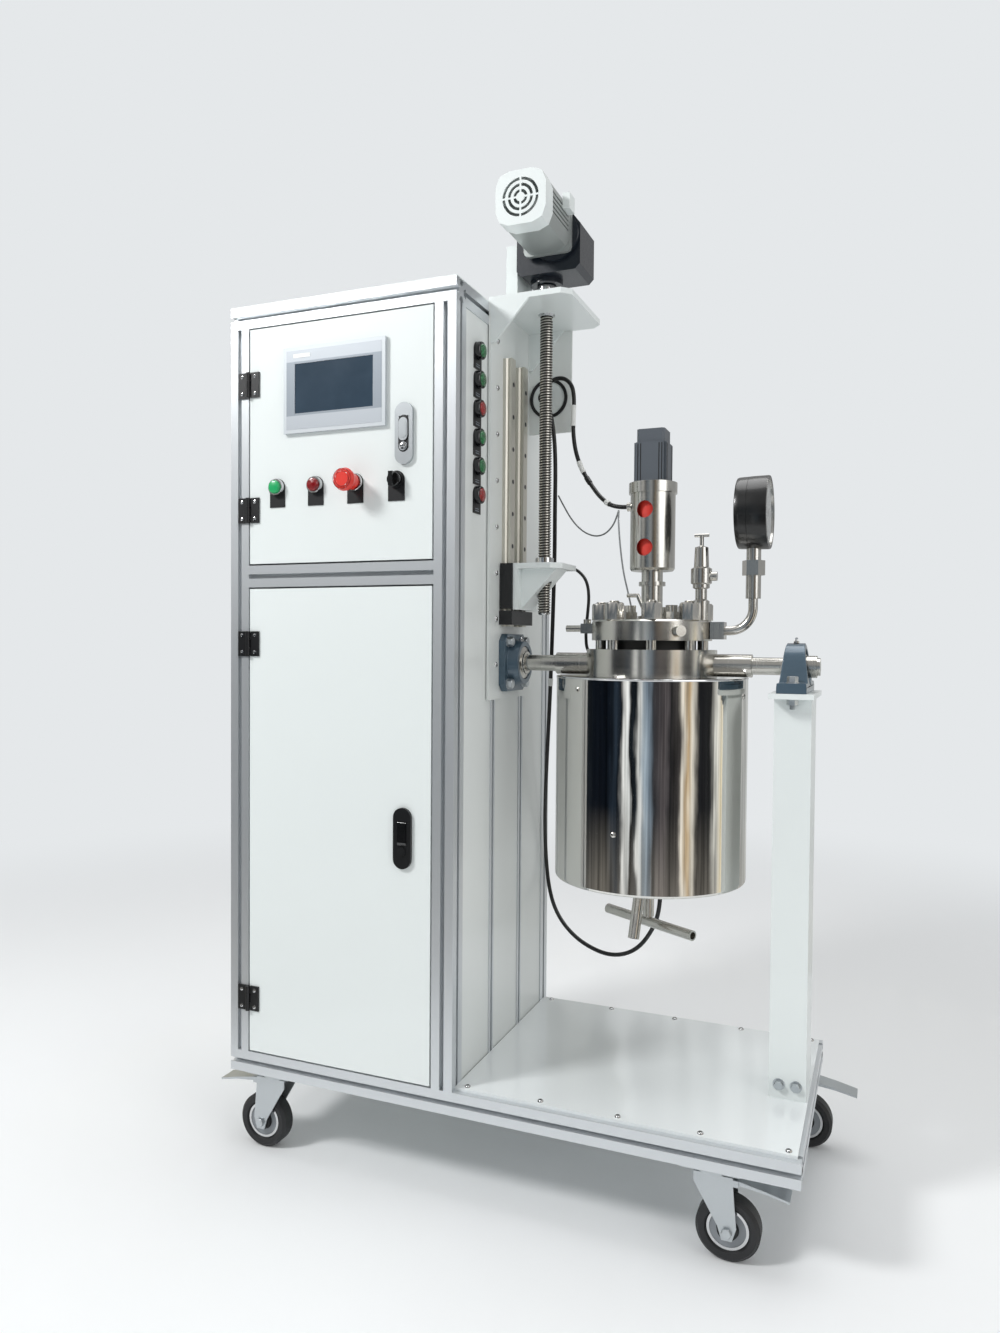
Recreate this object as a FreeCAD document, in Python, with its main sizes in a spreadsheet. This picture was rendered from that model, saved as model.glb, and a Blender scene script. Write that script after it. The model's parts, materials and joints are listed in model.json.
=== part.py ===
"""Laboratory reactor: a stirred pressure vessel tilting on trunnions beside its control cabinet.

All lengths are in millimetres. X runs to the right along the front, Y to the back and Z up.
The origin lies on the floor, at the middle of the space that the whole machine takes up.
"""
import FreeCAD
import Part
import Sketcher
import math
import os

Vector = FreeCAD.Vector
Rotation = FreeCAD.Rotation
Placement = FreeCAD.Placement

# Driving dimensions, one named value for each size that can be set by itself.
DRIVING = {
    # Base frame, deck and cabinet
    "profile": 40.0,
    "slot_mouth": 8.0,
    "slot_lip": 2.5,
    "slot_room": 18.0,
    "slot_depth": 11.0,
    "base_length": 1030.0,
    "base_depth": 480.0,
    "cabinet_width": 460.0,
    "cabinet_height": 1420.0,
    "cover_thick": 2.0,
    "panel_thick": 4.0,
    "panel_inset": 2.0,
    "mullion_width": 20.0,
    "mullion_front": 161.0,
    "mullion_rear": 304.0,
    "deck_thick": 5.0,
    "deck_inset": 12.0,
    "middle_rail_height": 906.0,
    # Doors and their hinges
    "door_gap": 3.0,
    "door_depth": 18.0,
    "door_wall": 1.6,
    "hinge_height": 46.0,
    "hinge_leaf": 18.0,
    "leaf_thick": 3.0,
    "knuckle_radius": 4.0,
    "pin_radius": 2.0,
    "running_gap": 0.06,
    "hinge_level_one": 1276.0,
    "hinge_level_two": 1047.0,
    "hinge_level_three": 802.0,
    "hinge_level_four": 142.0,
    # Operator panel, controls and latches
    "screen_left": 121.0,
    "screen_level": 1180.0,
    "screen_width": 208.0,
    "screen_height": 153.0,
    "screen_proud": 7.0,
    "screen_rim": 24.0,
    "screen_housing": 28.0,
    "control_level": 1086.0,
    "control_first": 104.0,
    "control_pitch": 81.5,
    "control_hole": 11.2,
    "bezel_radius": 14.5,
    "bezel_proud": 4.0,
    "button_radius": 10.0,
    "button_proud": 9.0,
    "barrel_length": 34.0,
    "label_radius": 16.0,
    "label_drop": 36.0,
    "label_thick": 1.5,
    "slide_gap": 0.3,
    "stop_radius": 20.0,
    "stop_head": 16.0,
    "stop_reach": 46.0,
    "side_control_level": 1320.0,
    "side_control_pitch": 50.5,
    "side_control_place": 92.0,
    "latch_place": 364.5,
    "latch_level": 1164.0,
    "lower_latch_level": 468.0,
    "latch_width": 34.0,
    "latch_height": 106.0,
    "latch_proud": 6.0,
    "handle_width": 17.0,
    "handle_height": 42.0,
    "handle_thick": 5.0,
    "handle_rise": 29.0,
    "latch_button": 7.5,
    # Lift column
    "lift_width": 204.0,
    "lift_thick": 4.0,
    "lift_bottom": 702.0,
    "lift_top": 1420.0,
    "tab_reach": 92.0,
    "tab_height": 198.0,
    "tab_hole": 36.0,
    "tab_hole_place": 41.0,
    "tab_hole_level": 1291.0,
    "grommet_rim": 39.0,
    "grommet_hole": 15.0,
    "cable_place": 30.0,
    "bracket_reach": 152.0,
    "bracket_thick": 10.0,
    "gusset_size": 72.0,
    "gusset_thick": 6.0,
    "screw_place": 70.0,
    "screw_radius": 12.0,
    "screw_end": 860.0,
    "journal_radius": 16.0,
    "coupling_radius": 18.0,
    "rail_width": 20.0,
    "rail_height": 17.5,
    "rail_spread": 64.0,
    "rail_top": 1336.0,
    "rail_bottom": 838.0,
    "block_width": 44.0,
    "block_height": 84.0,
    "block_depth": 26.0,
    "block_clear": 2.0,
    "carriage_bottom": 871.0,
    "lift_bracket_width": 100.0,
    "lift_bracket_reach": 90.0,
    "lift_bracket_thick": 10.0,
    "web_thick": 5.0,
    "web_spread": 62.0,
    "nut_radius": 17.0,
    "nut_height": 12.0,
    "stop_bar_height": 26.0,
    # Lift gearmotor
    "gearbox_left": 26.0,
    "gearbox_width": 122.0,
    "gearbox_depth": 86.0,
    "gearbox_bottom": 1482.0,
    "gearbox_height": 112.0,
    "output_radius": 30.0,
    "output_height": 9.0,
    "motor_place": 91.0,
    "motor_level": 1553.0,
    "motor_size": 90.0,
    "motor_length": 98.0,
    "motor_flange": 8.0,
    "fan_cover_length": 36.0,
    "motor_corner": 24.0,
    "stand_width": 22.0,
    "stand_depth": 78.0,
    "stand_height": 112.0,
    # Trunnions, bearings and column
    "trunnion_level": 770.0,
    "shaft_radius": 15.0,
    "sleeve_radius": 20.0,
    "sleeve_length": 62.0,
    "flange_bearing_size": 108.0,
    "flange_bearing_thick": 13.0,
    "flange_bearing_hub": 20.0,
    "bearing_hub_radius": 40.0,
    "insert_radius": 31.0,
    "insert_width": 34.0,
    "pillow_length": 165.0,
    "pillow_width": 48.0,
    "pillow_top_width": 30.0,
    "pillow_centre": 42.9,
    "pillow_foot": 17.0,
    "pillow_pitch": 121.0,
    "column_left": 961.0,
    "column_width": 60.0,
    "column_depth": 100.0,
    "column_wall": 4.0,
    "shelf_width": 72.0,
    "shelf_depth": 172.0,
    "shelf_thick": 9.0,
    # Vessel
    "vessel_place": 740.0,
    "jacket_radius": 170.0,
    "jacket_top": 748.0,
    "jacket_bottom": 388.0,
    "jacket_wall": 2.0,
    "jacket_round": 5.0,
    "pot_radius": 116.0,
    "pot_top": 797.0,
    "pot_bore": 70.0,
    "pot_body_radius": 84.0,
    "pot_bottom": 430.0,
    "pot_floor": 16.0,
    "collar_radius": 80.0,
    "lid_gap": 16.0,
    "lid_radius": 107.0,
    "lid_thick": 36.0,
    "gasket_radius": 79.0,
    "gasket_width": 8.0,
    "stud_circle": 91.0,
    "stud_count": 8.0,
    "stud_radius": 10.0,
    "nut_flats": 30.0,
    "lid_nut_height": 30.0,
    "stud_turn": 13.0,
    # Stirrer drive
    "neck_radius": 19.0,
    "neck_height": 89.0,
    "housing_radius": 40.0,
    "housing_height": 138.0,
    "housing_wall": 4.0,
    "window_radius": 15.0,
    "window_low": 40.0,
    "window_high": 107.0,
    "ring_radius": 43.0,
    "ring_height": 19.0,
    "drive_size": 58.0,
    "drive_height": 70.0,
    "drive_cap_size": 50.0,
    "drive_cap_height": 24.0,
    "rotor_radius": 30.0,
    "stirrer_radius": 8.0,
    "stirrer_end": 470.0,
    "blade_reach": 62.0,
    "blade_height": 16.0,
    "blade_thick": 4.0,
    # Fittings on the lid
    "window_turn": 9.0,
    "thermowell_radius": 3.5,
    "thermowell_place": 7.0,
    "thermowell_front": 53.0,
    "thermowell_height": 44.0,
    "thermowell_lean": 24.5,
    "thermowell_grip": 19.0,
    "valve_reach": 92.0,
    "valve_unit": 10.1,
    "gauge_radius": 62.5,
    "gauge_thick": 53.0,
    "gauge_level": 1034.5,
    "gauge_reach": 178.0,
    "gauge_tube_radius": 8.0,
    # Drain
    "drain_radius": 13.0,
    "drain_level": 303.0,
    "outlet_length": 105.0,
    "gland_radius": 8.0,
    "gland_length": 14.0,
    "drive_gland_length": 7.0,
    "outlet_radius": 10.0,
    "outlet_bore": 7.5,
    "tee_radius": 9.0,
    "tee_length": 212.0,
    # Casters
    "caster_height": 150.0,
    "wheel_radius": 50.0,
    "wheel_width": 32.0,
    "hub_radius": 16.0,
    "axle_radius": 5.0,
    "caster_trail": 25.0,
    "caster_front_left": 79.0,
    "caster_front_right": 135.0,
    "caster_rear": 53.0,
    "caster_side": 40.0,
    "caster_plate_length": 92.0,
    "caster_plate_width": 70.0,
    "caster_plate_thick": 4.0,
    "race_radius": 27.0,
    "race_height": 9.0,
    "fork_wall": 3.0,
    "fork_gap": 2.5,
    "pedal_reach": 118.0,
    "pedal_pin": 2.2,
    # Cables
    "cable_radius": 4.0,
    "short_cable_radius": 3.0,
    "probe_radius": 1.5,
}

document = FreeCAD.newDocument("laboratory_reactor")


class Measure:
    """A size that keeps the formula it came from, so that features can be bound to it."""

    def __init__(self, formula, value):
        self.formula = formula
        self.value = value

    def __add__(self, other):
        other = measure(other)
        return Measure(f"({self.formula} + {other.formula})", self.value + other.value)

    def __radd__(self, other):
        return measure(other) + self

    def __sub__(self, other):
        other = measure(other)
        return Measure(f"({self.formula} - {other.formula})", self.value - other.value)

    def __rsub__(self, other):
        return measure(other) - self

    def __mul__(self, other):
        other = measure(other)
        return Measure(f"({self.formula} * {other.formula})", self.value * other.value)

    def __rmul__(self, other):
        return measure(other) * self

    def __truediv__(self, other):
        other = measure(other)
        return Measure(f"({self.formula} / {other.formula})", self.value / other.value)

    def __neg__(self):
        return Measure(f"(0 - {self.formula})", -self.value)

    def __float__(self):
        return float(self.value)


def measure(number):
    """A plain number or a Measure, as a Measure."""
    if isinstance(number, Measure):
        return number
    return Measure(f"({float(number)!r})", float(number))


class Sizes:
    """The sheet of driving dimensions, read by name."""

    def __init__(self, driving):
        self.sheet = document.addObject("Spreadsheet::Sheet", "Sizes")
        for row, (alias, number) in enumerate(driving.items(), start=1):
            self.sheet.set(f"A{row}", alias)
            self.sheet.set(f"B{row}", str(number))
            self.sheet.setAlias(f"B{row}", alias)
        document.recompute()

    def __getattr__(self, alias):
        return Measure(f"Sizes.{alias}", float(self.sheet.get(alias)))


size = Sizes(DRIVING)

AXES = {
    "X": Rotation(Vector(0, 1, 0), 90),
    "Y": Rotation(Vector(1, 0, 0), -90),
    "Z": Rotation(),
}
# Turns that lay a profile sketch across the machine: its own X and Y, then the way it is pulled.
PROFILES = {
    "X": Rotation(Vector(1, 1, 1), 120),
    "Y": Rotation(Vector(1, 0, 0), 90),
    "Z": Rotation(),
}


def bind(thing, name, number):
    """Ties a property of a feature to a size."""
    thing.setExpression(name, measure(number).formula)


def place(thing, at, rotation=None):
    """Puts a feature at a point, turned by a fixed rotation."""
    thing.Placement = Placement(Vector(0, 0, 0), rotation or Rotation())
    for name, number in zip("xyz", at):
        bind(thing, f".Placement.Base.{name}", number)
    return thing


def block(at, extent):
    """A box from its lowest corner and its three lengths."""
    thing = document.addObject("Part::Box", "block")
    for name, number in zip(("Length", "Width", "Height"), extent):
        bind(thing, name, number)
    return place(thing, at)


def rod(at, radius, length, axis="Z", rotation=None):
    """A round bar that starts at a point and runs along an axis."""
    thing = document.addObject("Part::Cylinder", "rod")
    bind(thing, "Radius", radius)
    bind(thing, "Height", length)
    return place(thing, at, rotation or AXES[axis])


def taper(at, radius, end_radius, length, axis="Z", rotation=None):
    """A round bar whose radius changes evenly along its length."""
    thing = document.addObject("Part::Cone", "taper")
    bind(thing, "Radius1", radius)
    bind(thing, "Radius2", end_radius)
    bind(thing, "Height", length)
    return place(thing, at, rotation or AXES[axis])


def fuse(*parts):
    """Several solids welded or cast into one."""
    thing = document.addObject("Part::MultiFuse", "joined")
    thing.Shapes = list(parts)
    thing.Refine = True
    return thing


def cut(base, *tools):
    """A solid with holes or pockets taken out of it."""
    thing = document.addObject("Part::Cut", "shaped")
    thing.Base = base
    thing.Tool = tools[0] if len(tools) == 1 else fuse(*tools)
    return thing


def common(base, tool):
    """What two solids share."""
    thing = document.addObject("Part::Common", "shared")
    thing.Base = base
    thing.Tool = tool
    return thing


def sketch_outline(body, role, points):
    """A closed outline on one of the body's own planes, each corner tied to its two sizes."""
    sketch = body.newObject("Sketcher::SketchObject", "outline")
    plane = next(item for item in body.Origin.OriginFeatures if item.Role == role)
    sketch.AttachmentSupport = [(plane, "")]
    sketch.MapMode = "FlatFace"
    corners = [(measure(across), measure(up)) for across, up in points]
    count = len(corners)
    lines = []
    for index in range(count):
        start = corners[index]
        end = corners[(index + 1) % count]
        lines.append(
            Part.LineSegment(
                Vector(start[0].value, start[1].value, 0), Vector(end[0].value, end[1].value, 0)
            )
        )
    sketch.addGeometry(lines, False)
    rules = []
    for index in range(count):
        rules.append(Sketcher.Constraint("Coincident", index, 2, (index + 1) % count, 1))
    sketch.addConstraint(rules)
    for index, (across, up) in enumerate(corners):
        for kind, number, line in (("DistanceX", across, -2), ("DistanceY", up, -1)):
            if number.value == 0.0:
                sketch.addConstraint(Sketcher.Constraint("PointOnObject", index, 1, line))
                continue
            rule = sketch.addConstraint(Sketcher.Constraint(kind, -1, 1, index, 1, number.value))
            sketch.setExpression(f"Constraints[{rule}]", number.formula)
    return sketch


def prism(points, at, length, axis="Z"):
    """An outline pulled along an axis. Along Y its outline lies at the far end."""
    body = document.addObject("PartDesign::Body", "profile")
    sketch = sketch_outline(body, "XY_Plane", points)
    pad = body.newObject("PartDesign::Pad", "pull")
    pad.Profile = sketch
    bind(pad, "Length", length)
    body.Tip = pad
    x, y, z = at
    if axis == "Y":
        y = measure(y) + length
    return place(body, (x, y, z), PROFILES[axis])


def turned(points, at, axis="Z", rotation=None):
    """A profile of radii and heights turned about an axis."""
    body = document.addObject("PartDesign::Body", "turning")
    sketch = sketch_outline(body, "XZ_Plane", points)
    revolution = body.newObject("PartDesign::Revolution", "turn")
    revolution.Profile = sketch
    revolution.ReferenceAxis = (sketch, ["V_Axis"])
    revolution.Angle = 360.0
    body.Tip = revolution
    return place(body, at, rotation or AXES[axis])


NODES = {}


def node(label, *parts):
    """Names a piece, or a group of like pieces that share a name."""
    if len(parts) == 1:
        thing = parts[0]
    else:
        thing = document.addObject("Part::Compound", "group")
        thing.Links = list(parts)
    thing.Label = label
    NODES[label] = thing
    return thing


# Datum lines that every sub-assembly is placed by
left = -size.base_length / 2
front = (size.stop_reach - size.base_depth) / 2
back = front + size.base_depth
middle = front + size.base_depth / 2
ground = size.caster_height
side = left + size.cabinet_width
base_top = ground + size.profile
cabinet_top = ground + size.cabinet_height
posts_top = cabinet_top - size.profile
lift_face = side + size.lift_thick
lift_front = middle - size.lift_width / 2
lift_back = middle + size.lift_width / 2
screw_x = lift_face + size.screw_place
trunnion = ground + size.trunnion_level
vessel_x = left + size.vessel_place
column_x = left + size.column_left


def slotted_outline():
    """The corners of the slotted aluminium extrusion, round its own middle."""
    half = size.profile / 2
    mouth = size.slot_mouth / 2
    room = size.slot_room / 2
    lip = half - size.slot_lip
    floor = half - size.slot_depth
    quarter = [
        (-half, half),
        (-mouth, half),
        (-mouth, lip),
        (-room, lip),
        (-mouth, floor),
        (mouth, floor),
        (room, lip),
        (mouth, lip),
        (mouth, half),
    ]
    outline = []
    for turn in range(4):
        for across, up in quarter:
            for _ in range(turn):
                across, up = up, -across
            outline.append((across, up))
    return outline


def extrusion(at, length, axis):
    """A length of slotted extrusion whose lowest corner is at a point."""
    half = size.profile / 2
    x, y, z = at
    shift = {"X": (0, half, half), "Y": (half, 0, half), "Z": (half, half, 0)}[axis]
    centre = tuple(measure(a) + b for a, b in zip((x, y, z), shift))
    return prism(slotted_outline(), centre, length, axis)


def make_frame():
    """The base frame, the cabinet's posts and rails, and the two thin side mullions."""
    profile = size.profile
    between = size.base_depth - profile * 2
    rails = [
        extrusion((left, front, ground), size.base_length, "X"),
        extrusion((left, back - profile, ground), size.base_length, "X"),
    ]
    for x in (left, side - profile, -left - profile):
        rails.append(extrusion((x, front + profile, ground), between, "Y"))
    post = posts_top - base_top
    for x in (left, side - profile):
        for y in (front, back - profile):
            rails.append(extrusion((x, y, base_top), post, "Z"))
    for y in (front, back - profile):
        rails.append(extrusion((left, y, posts_top), size.cabinet_width, "X"))
    for x in (left, side - profile):
        rails.append(extrusion((x, front + profile, posts_top), between, "Y"))
    inner = size.cabinet_width - profile * 2
    rails.append(
        extrusion((left + profile, front, ground + size.middle_rail_height), inner, "X")
    )
    half = size.mullion_width / 2
    mouth = size.slot_mouth / 2
    depth = size.slot_depth / 2
    outline = [
        (0, -half),
        (profile, -half),
        (profile, -mouth),
        (profile - depth, -mouth),
        (profile - depth, mouth),
        (profile, mouth),
        (profile, half),
        (0, half),
    ]
    for place_y in (size.mullion_front, size.mullion_rear):
        at = (side - profile, front + place_y + half, base_top)
        rails.append(prism(outline, at, post, "Z"))
    node("frame_profiles", *rails)


def side_control_levels():
    """The heights of the six side controls, from the top."""
    level = ground + size.side_control_level
    return [level - size.side_control_pitch * index for index in range(6)]


def make_cabinet():
    """The cabinet's fixed panels, its floor and its cover."""
    profile = size.profile
    thick = size.panel_thick
    tall = posts_top - base_top
    outer = side - size.panel_inset - thick
    mullion = size.mullion_width
    spans = [
        (front + profile, front + size.mullion_front),
        (front + size.mullion_front + mullion, front + size.mullion_rear),
        (front + size.mullion_rear + mullion, back - profile),
    ]
    panels = []
    for index, (start, end) in enumerate(spans):
        panel = block((outer, start, base_top), (thick, end - start, tall))
        if index == 0:
            holes = [
                rod(
                    (outer - 1, front + size.side_control_place, level),
                    size.control_hole + size.slide_gap,
                    thick + 2,
                    "X",
                )
                for level in side_control_levels()
            ]
            panel = cut(panel, *holes)
        panels.append(panel)
    inner_depth = size.base_depth - profile * 2
    inner_width = size.cabinet_width - profile * 2
    panels.append(
        block((left + size.panel_inset, front + profile, base_top), (thick, inner_depth, tall))
    )
    panels.append(
        block(
            (left + profile, back - size.panel_inset - thick, base_top),
            (inner_width, thick, tall),
        )
    )
    panels.append(
        block(
            (left + profile, front + profile, base_top),
            (inner_width, inner_depth, size.cover_thick),
        )
    )
    panels.append(
        block(
            (left, front, cabinet_top),
            (size.cabinet_width, size.base_depth, size.cover_thick),
        )
    )
    node("cabinet_panels", *panels)
    inset = size.deck_inset
    deck = block(
        (side, front + inset, base_top),
        (-left - side - inset / 2, size.base_depth - inset * 2, size.deck_thick),
    )
    node("deck_plate", deck)


def hinge_axis():
    """Where the doors' pins stand: over the gap beside the left post, just proud of the doors."""
    x = left + size.profile + size.door_gap / 2
    y = front - size.knuckle_radius - size.slide_gap
    return x, y


def hinge_levels():
    """The middle heights of the four hinges, upper door first."""
    levels = (
        size.hinge_level_one,
        size.hinge_level_two,
        size.hinge_level_three,
        size.hinge_level_four,
    )
    return [ground + level for level in levels]


def fixed_leaf(level):
    """The leaf on the post, with two knuckles and the pin."""
    x, y = hinge_axis()
    radius = size.knuckle_radius
    third = size.hinge_height / 3
    bottom = level - size.hinge_height / 2
    gap = size.slide_gap
    leaf = block(
        (x - radius - gap * 2 - size.hinge_leaf, front - size.leaf_thick, bottom),
        (size.hinge_leaf, size.leaf_thick, size.hinge_height),
    )
    parts = [leaf, rod((x, y, bottom), size.pin_radius, size.hinge_height)]
    for start in (bottom, bottom + third * 2):
        parts.append(rod((x, y, start), radius, third))
        parts.append(
            block(
                (x - radius - gap * 3, front - size.leaf_thick, start),
                (radius + gap * 3, size.leaf_thick, third),
            )
        )
    return fuse(*parts)


def door_leaf(level):
    """The leaf on the door, with the middle knuckle."""
    x, y = hinge_axis()
    radius = size.knuckle_radius
    third = size.hinge_height / 3
    bottom = level - size.hinge_height / 2
    gap = size.slide_gap
    start = bottom + third + gap
    tall = third - gap * 2
    leaf = block(
        (x + radius + gap * 2, front - size.leaf_thick, bottom),
        (size.hinge_leaf, size.leaf_thick, size.hinge_height),
    )
    knuckle = rod((x, y, start), radius, tall)
    link = block((x, front - size.leaf_thick, start), (radius + gap * 3, size.leaf_thick, tall))
    bore = rod((x, y, start - 1), size.pin_radius + size.running_gap, tall + 2)
    return cut(fuse(leaf, knuckle, link), bore)


def control_places():
    """The front controls' places across the upper door."""
    first = left + size.control_first
    return [first + size.control_pitch * index for index in range(4)]


def latch_case(level):
    """A flush latch's oval plate with the pocket that its handle lies in, and its body."""
    x = left + size.latch_place
    radius = size.latch_width / 2
    straight = size.latch_height / 2 - radius
    proud = size.latch_proud
    ends = [
        rod((x, front - proud, level + rise), radius, proud, "Y") for rise in (-straight, straight)
    ]
    bar = block(
        (x - radius, front - proud, level - straight), (size.latch_width, proud, straight * 2)
    )
    gap = size.slide_gap
    floor = front - latch_floor()
    deep = size.handle_height + gap * 4
    room = block(
        (
            x - size.handle_width / 2 - gap * 2,
            front - proud - 1,
            handle_top(level) + gap * 2 - deep,
        ),
        (size.handle_width + gap * 4, floor - front + proud + 1, deep),
    )
    button_level = handle_top(level) - deep - size.latch_button - gap * 2
    button = rod((x, front - proud * 1.3, button_level), size.latch_button, proud * 1.2, "Y")
    return fuse(cut(fuse(*ends, bar), room), button)


def latch_floor():
    """How far a latch's pocket floor stands in front of the door."""
    return size.latch_proud / 3


def latch_handle(level):
    """The handle that swings out of the latch's pocket, hinged at its top."""
    x = left + size.latch_place
    width = size.handle_width
    half = size.handle_thick / 2
    low = size.handle_height
    outline = [
        (0, -half),
        (-half * 2, -half),
        (-half * 2, -low * 0.86),
        (-half, -low),
        (0, -low),
    ]
    at = (x - width / 2, front - latch_floor() - size.slide_gap, handle_top(level))
    crown = rod((at[0], at[1] - half, at[2] - half), half, width, "X")
    return fuse(prism(outline, at, width, "X"), crown)


def handle_top(level):
    """The top of a latch handle, just under its pivot's crown."""
    return level + size.handle_rise


def door_pan(bottom, top):
    """A folded door: a flat face with its four edges turned back."""
    gap = size.door_gap
    wall = size.door_wall
    x = left + size.profile + gap
    width = size.cabinet_width - size.profile * 2 - gap * 2
    tall = top - bottom - gap * 2
    outer = block((x, front, bottom + gap), (width, size.door_depth, tall))
    inner = block(
        (x + wall, front + wall, bottom + gap + wall),
        (width - wall * 2, size.door_depth, tall - wall * 2),
    )
    return cut(outer, inner)


def make_doors():
    """Both doors with their leaves and latch plates, and the leaves on the post."""
    levels = hinge_levels()
    rail = ground + size.middle_rail_height
    upper = door_pan(rail + size.profile, posts_top)
    lower = door_pan(base_top, rail)
    gap = size.slide_gap
    window = block(
        (
            left + size.screen_left + size.screen_rim / 2 - gap,
            front - 1,
            ground + size.screen_level + size.screen_rim / 2 - gap,
        ),
        (
            size.screen_width - size.screen_rim + gap * 2,
            size.door_wall + 2,
            size.screen_height - size.screen_rim + gap * 2,
        ),
    )
    holes = [
        rod(
            (x, front - 1, ground + size.control_level),
            size.control_hole + gap,
            size.door_wall + 2,
            "Y",
        )
        for x in control_places()
    ]
    upper = cut(upper, window, *holes)
    node(
        "upper_door",
        upper,
        door_leaf(levels[0]),
        door_leaf(levels[1]),
        latch_case(ground + size.latch_level),
    )
    node(
        "lower_door",
        lower,
        door_leaf(levels[2]),
        door_leaf(levels[3]),
        latch_case(ground + size.lower_latch_level),
    )
    node("hinge_leaves", *[fixed_leaf(level) for level in levels])
    node("upper_latch_handle", latch_handle(ground + size.latch_level))
    node("lower_latch_handle", latch_handle(ground + size.lower_latch_level))


def make_screen():
    """The operator panel: a bezel with its housing behind the door, and the glass."""
    rim = size.screen_rim
    proud = size.screen_proud
    x = left + size.screen_left
    z = ground + size.screen_level
    bezel = block((x, front - proud, z), (size.screen_width, proud, size.screen_height))
    housing = block(
        (x + rim / 2, front, z + rim / 2),
        (size.screen_width - rim, size.screen_housing, size.screen_height - rim),
    )
    glass_width = size.screen_width - rim * 2
    glass_height = size.screen_height - rim * 1.25 - rim * 1.45
    glass_depth = proud / 3
    at = (x + rim, front - proud, z + rim * 1.45)
    pocket = block(
        (at[0], front - proud - 1, at[2]), (glass_width, glass_depth + 1, glass_height)
    )
    recess = glass_depth / 3
    glass = block(
        (at[0], front - proud + recess, at[2]), (glass_width, glass_depth - recess, glass_height)
    )
    node("hmi_panel", cut(fuse(bezel, housing), pocket), glass)


def control_base(x, radius):
    """A front control's label plate, and its collar with the barrel behind the panel."""
    z = ground + size.control_level
    thick = size.label_thick
    label = size.label_radius
    y = front - thick
    plate = fuse(
        rod((x, y, z), label, thick, "Y"),
        block((x - label, y, z - size.label_drop), (label * 2, thick, size.label_drop)),
    )
    bore = size.button_radius + size.slide_gap
    plate = cut(plate, rod((x, y - 1, z), size.control_hole + size.slide_gap, thick + 2, "Y"))
    collar = fuse(
        rod((x, y - size.bezel_proud, z), radius, size.bezel_proud, "Y"),
        rod((x, y, z), size.control_hole, size.barrel_length, "Y"),
    )
    room = rod(
        (x, y - size.bezel_proud - 1, z), bore, size.barrel_length * 0.75 + size.bezel_proud, "Y"
    )
    return plate, cut(collar, room)


def make_front_controls():
    """Two push buttons, the stop mushroom and the selector on the upper door."""
    z = ground + size.control_level
    proud = size.label_thick + size.bezel_proud
    inside = size.barrel_length * 0.4
    bases = []
    for x in control_places():
        bases.extend(control_base(x, size.bezel_radius))
    node("front_bezels", *bases)
    green_x, red_x, stop_x, selector_x = control_places()
    length = proud + size.button_proud + inside
    start = front - proud - size.button_proud
    cap = size.button_proud / 4
    radius = size.button_radius
    profile = [(0, 0), (radius * 0.82, 0), (radius, cap), (radius, length), (0, length)]
    for label, x in (("green_button", green_x), ("red_button", red_x)):
        node(label, turned(profile, (x, start, z), "Y"))
    head = size.stop_head
    reach = size.stop_reach
    stop = size.stop_radius
    profile = [
        (0, 0),
        (stop * 0.62, 0),
        (stop * 0.9, head * 0.2),
        (stop, head * 0.5),
        (stop * 0.94, head * 0.85),
        (stop * 0.7, head),
        (stop * 0.7, reach - proud - size.bezel_proud * 2),
        (radius, reach - proud - size.bezel_proud * 2),
        (radius, reach + inside),
        (0, reach + inside),
    ]
    node("stop_button", turned(profile, (stop_x, front - reach, z), "Y"))
    knob = size.bezel_radius * 0.86
    profile = [
        (0, 0),
        (knob * 0.9, 0),
        (knob, cap),
        (knob, size.button_proud),
        (radius, size.button_proud),
        (radius, length),
        (0, length),
    ]
    start = start - size.slide_gap
    grip = block(
        (selector_x - knob * 0.32, start - size.button_proud, z - knob * 0.95),
        (knob * 0.64, size.button_proud + cap, knob * 1.9),
    )
    node("selector_switch", fuse(turned(profile, (selector_x, start, z), "Y"), grip))


def make_side_controls():
    """The six push buttons on the cabinet's right side, with their collars and label plates."""
    y = front + size.side_control_place
    face = side - size.panel_inset
    thick = size.label_thick
    label = size.label_radius
    bases = []
    for index, z in enumerate(side_control_levels(), start=1):
        plate = fuse(
            rod((face, y, z), label, thick, "X"),
            block((face, y - label, z - size.label_drop * 0.9), (thick, label * 2, size.label_drop * 0.9)),
        )
        hole = rod((face - 1, y, z), size.control_hole + size.slide_gap, thick + 2, "X")
        bases.append(cut(plate, hole))
        outer = face + thick
        collar = fuse(
            rod((outer, y, z), size.bezel_radius, size.bezel_proud, "X"),
            rod((outer - size.barrel_length, y, z), size.control_hole, size.barrel_length, "X"),
        )
        deep = size.barrel_length * 0.75
        bore = size.button_radius + size.slide_gap
        room = rod((outer - deep, y, z), bore, deep + size.bezel_proud + 1, "X")
        bases.append(cut(collar, room))
        radius = size.button_radius
        inside = size.barrel_length * 0.4
        length = inside + size.bezel_proud + size.button_proud
        cap = size.button_proud / 4
        profile = [(0, 0), (radius, 0), (radius, length - cap), (radius * 0.82, length), (0, length)]
        node(f"side_button_{index}", turned(profile, (outer - inside, y, z), "X"))
    node("side_bezels", *bases)


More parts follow.
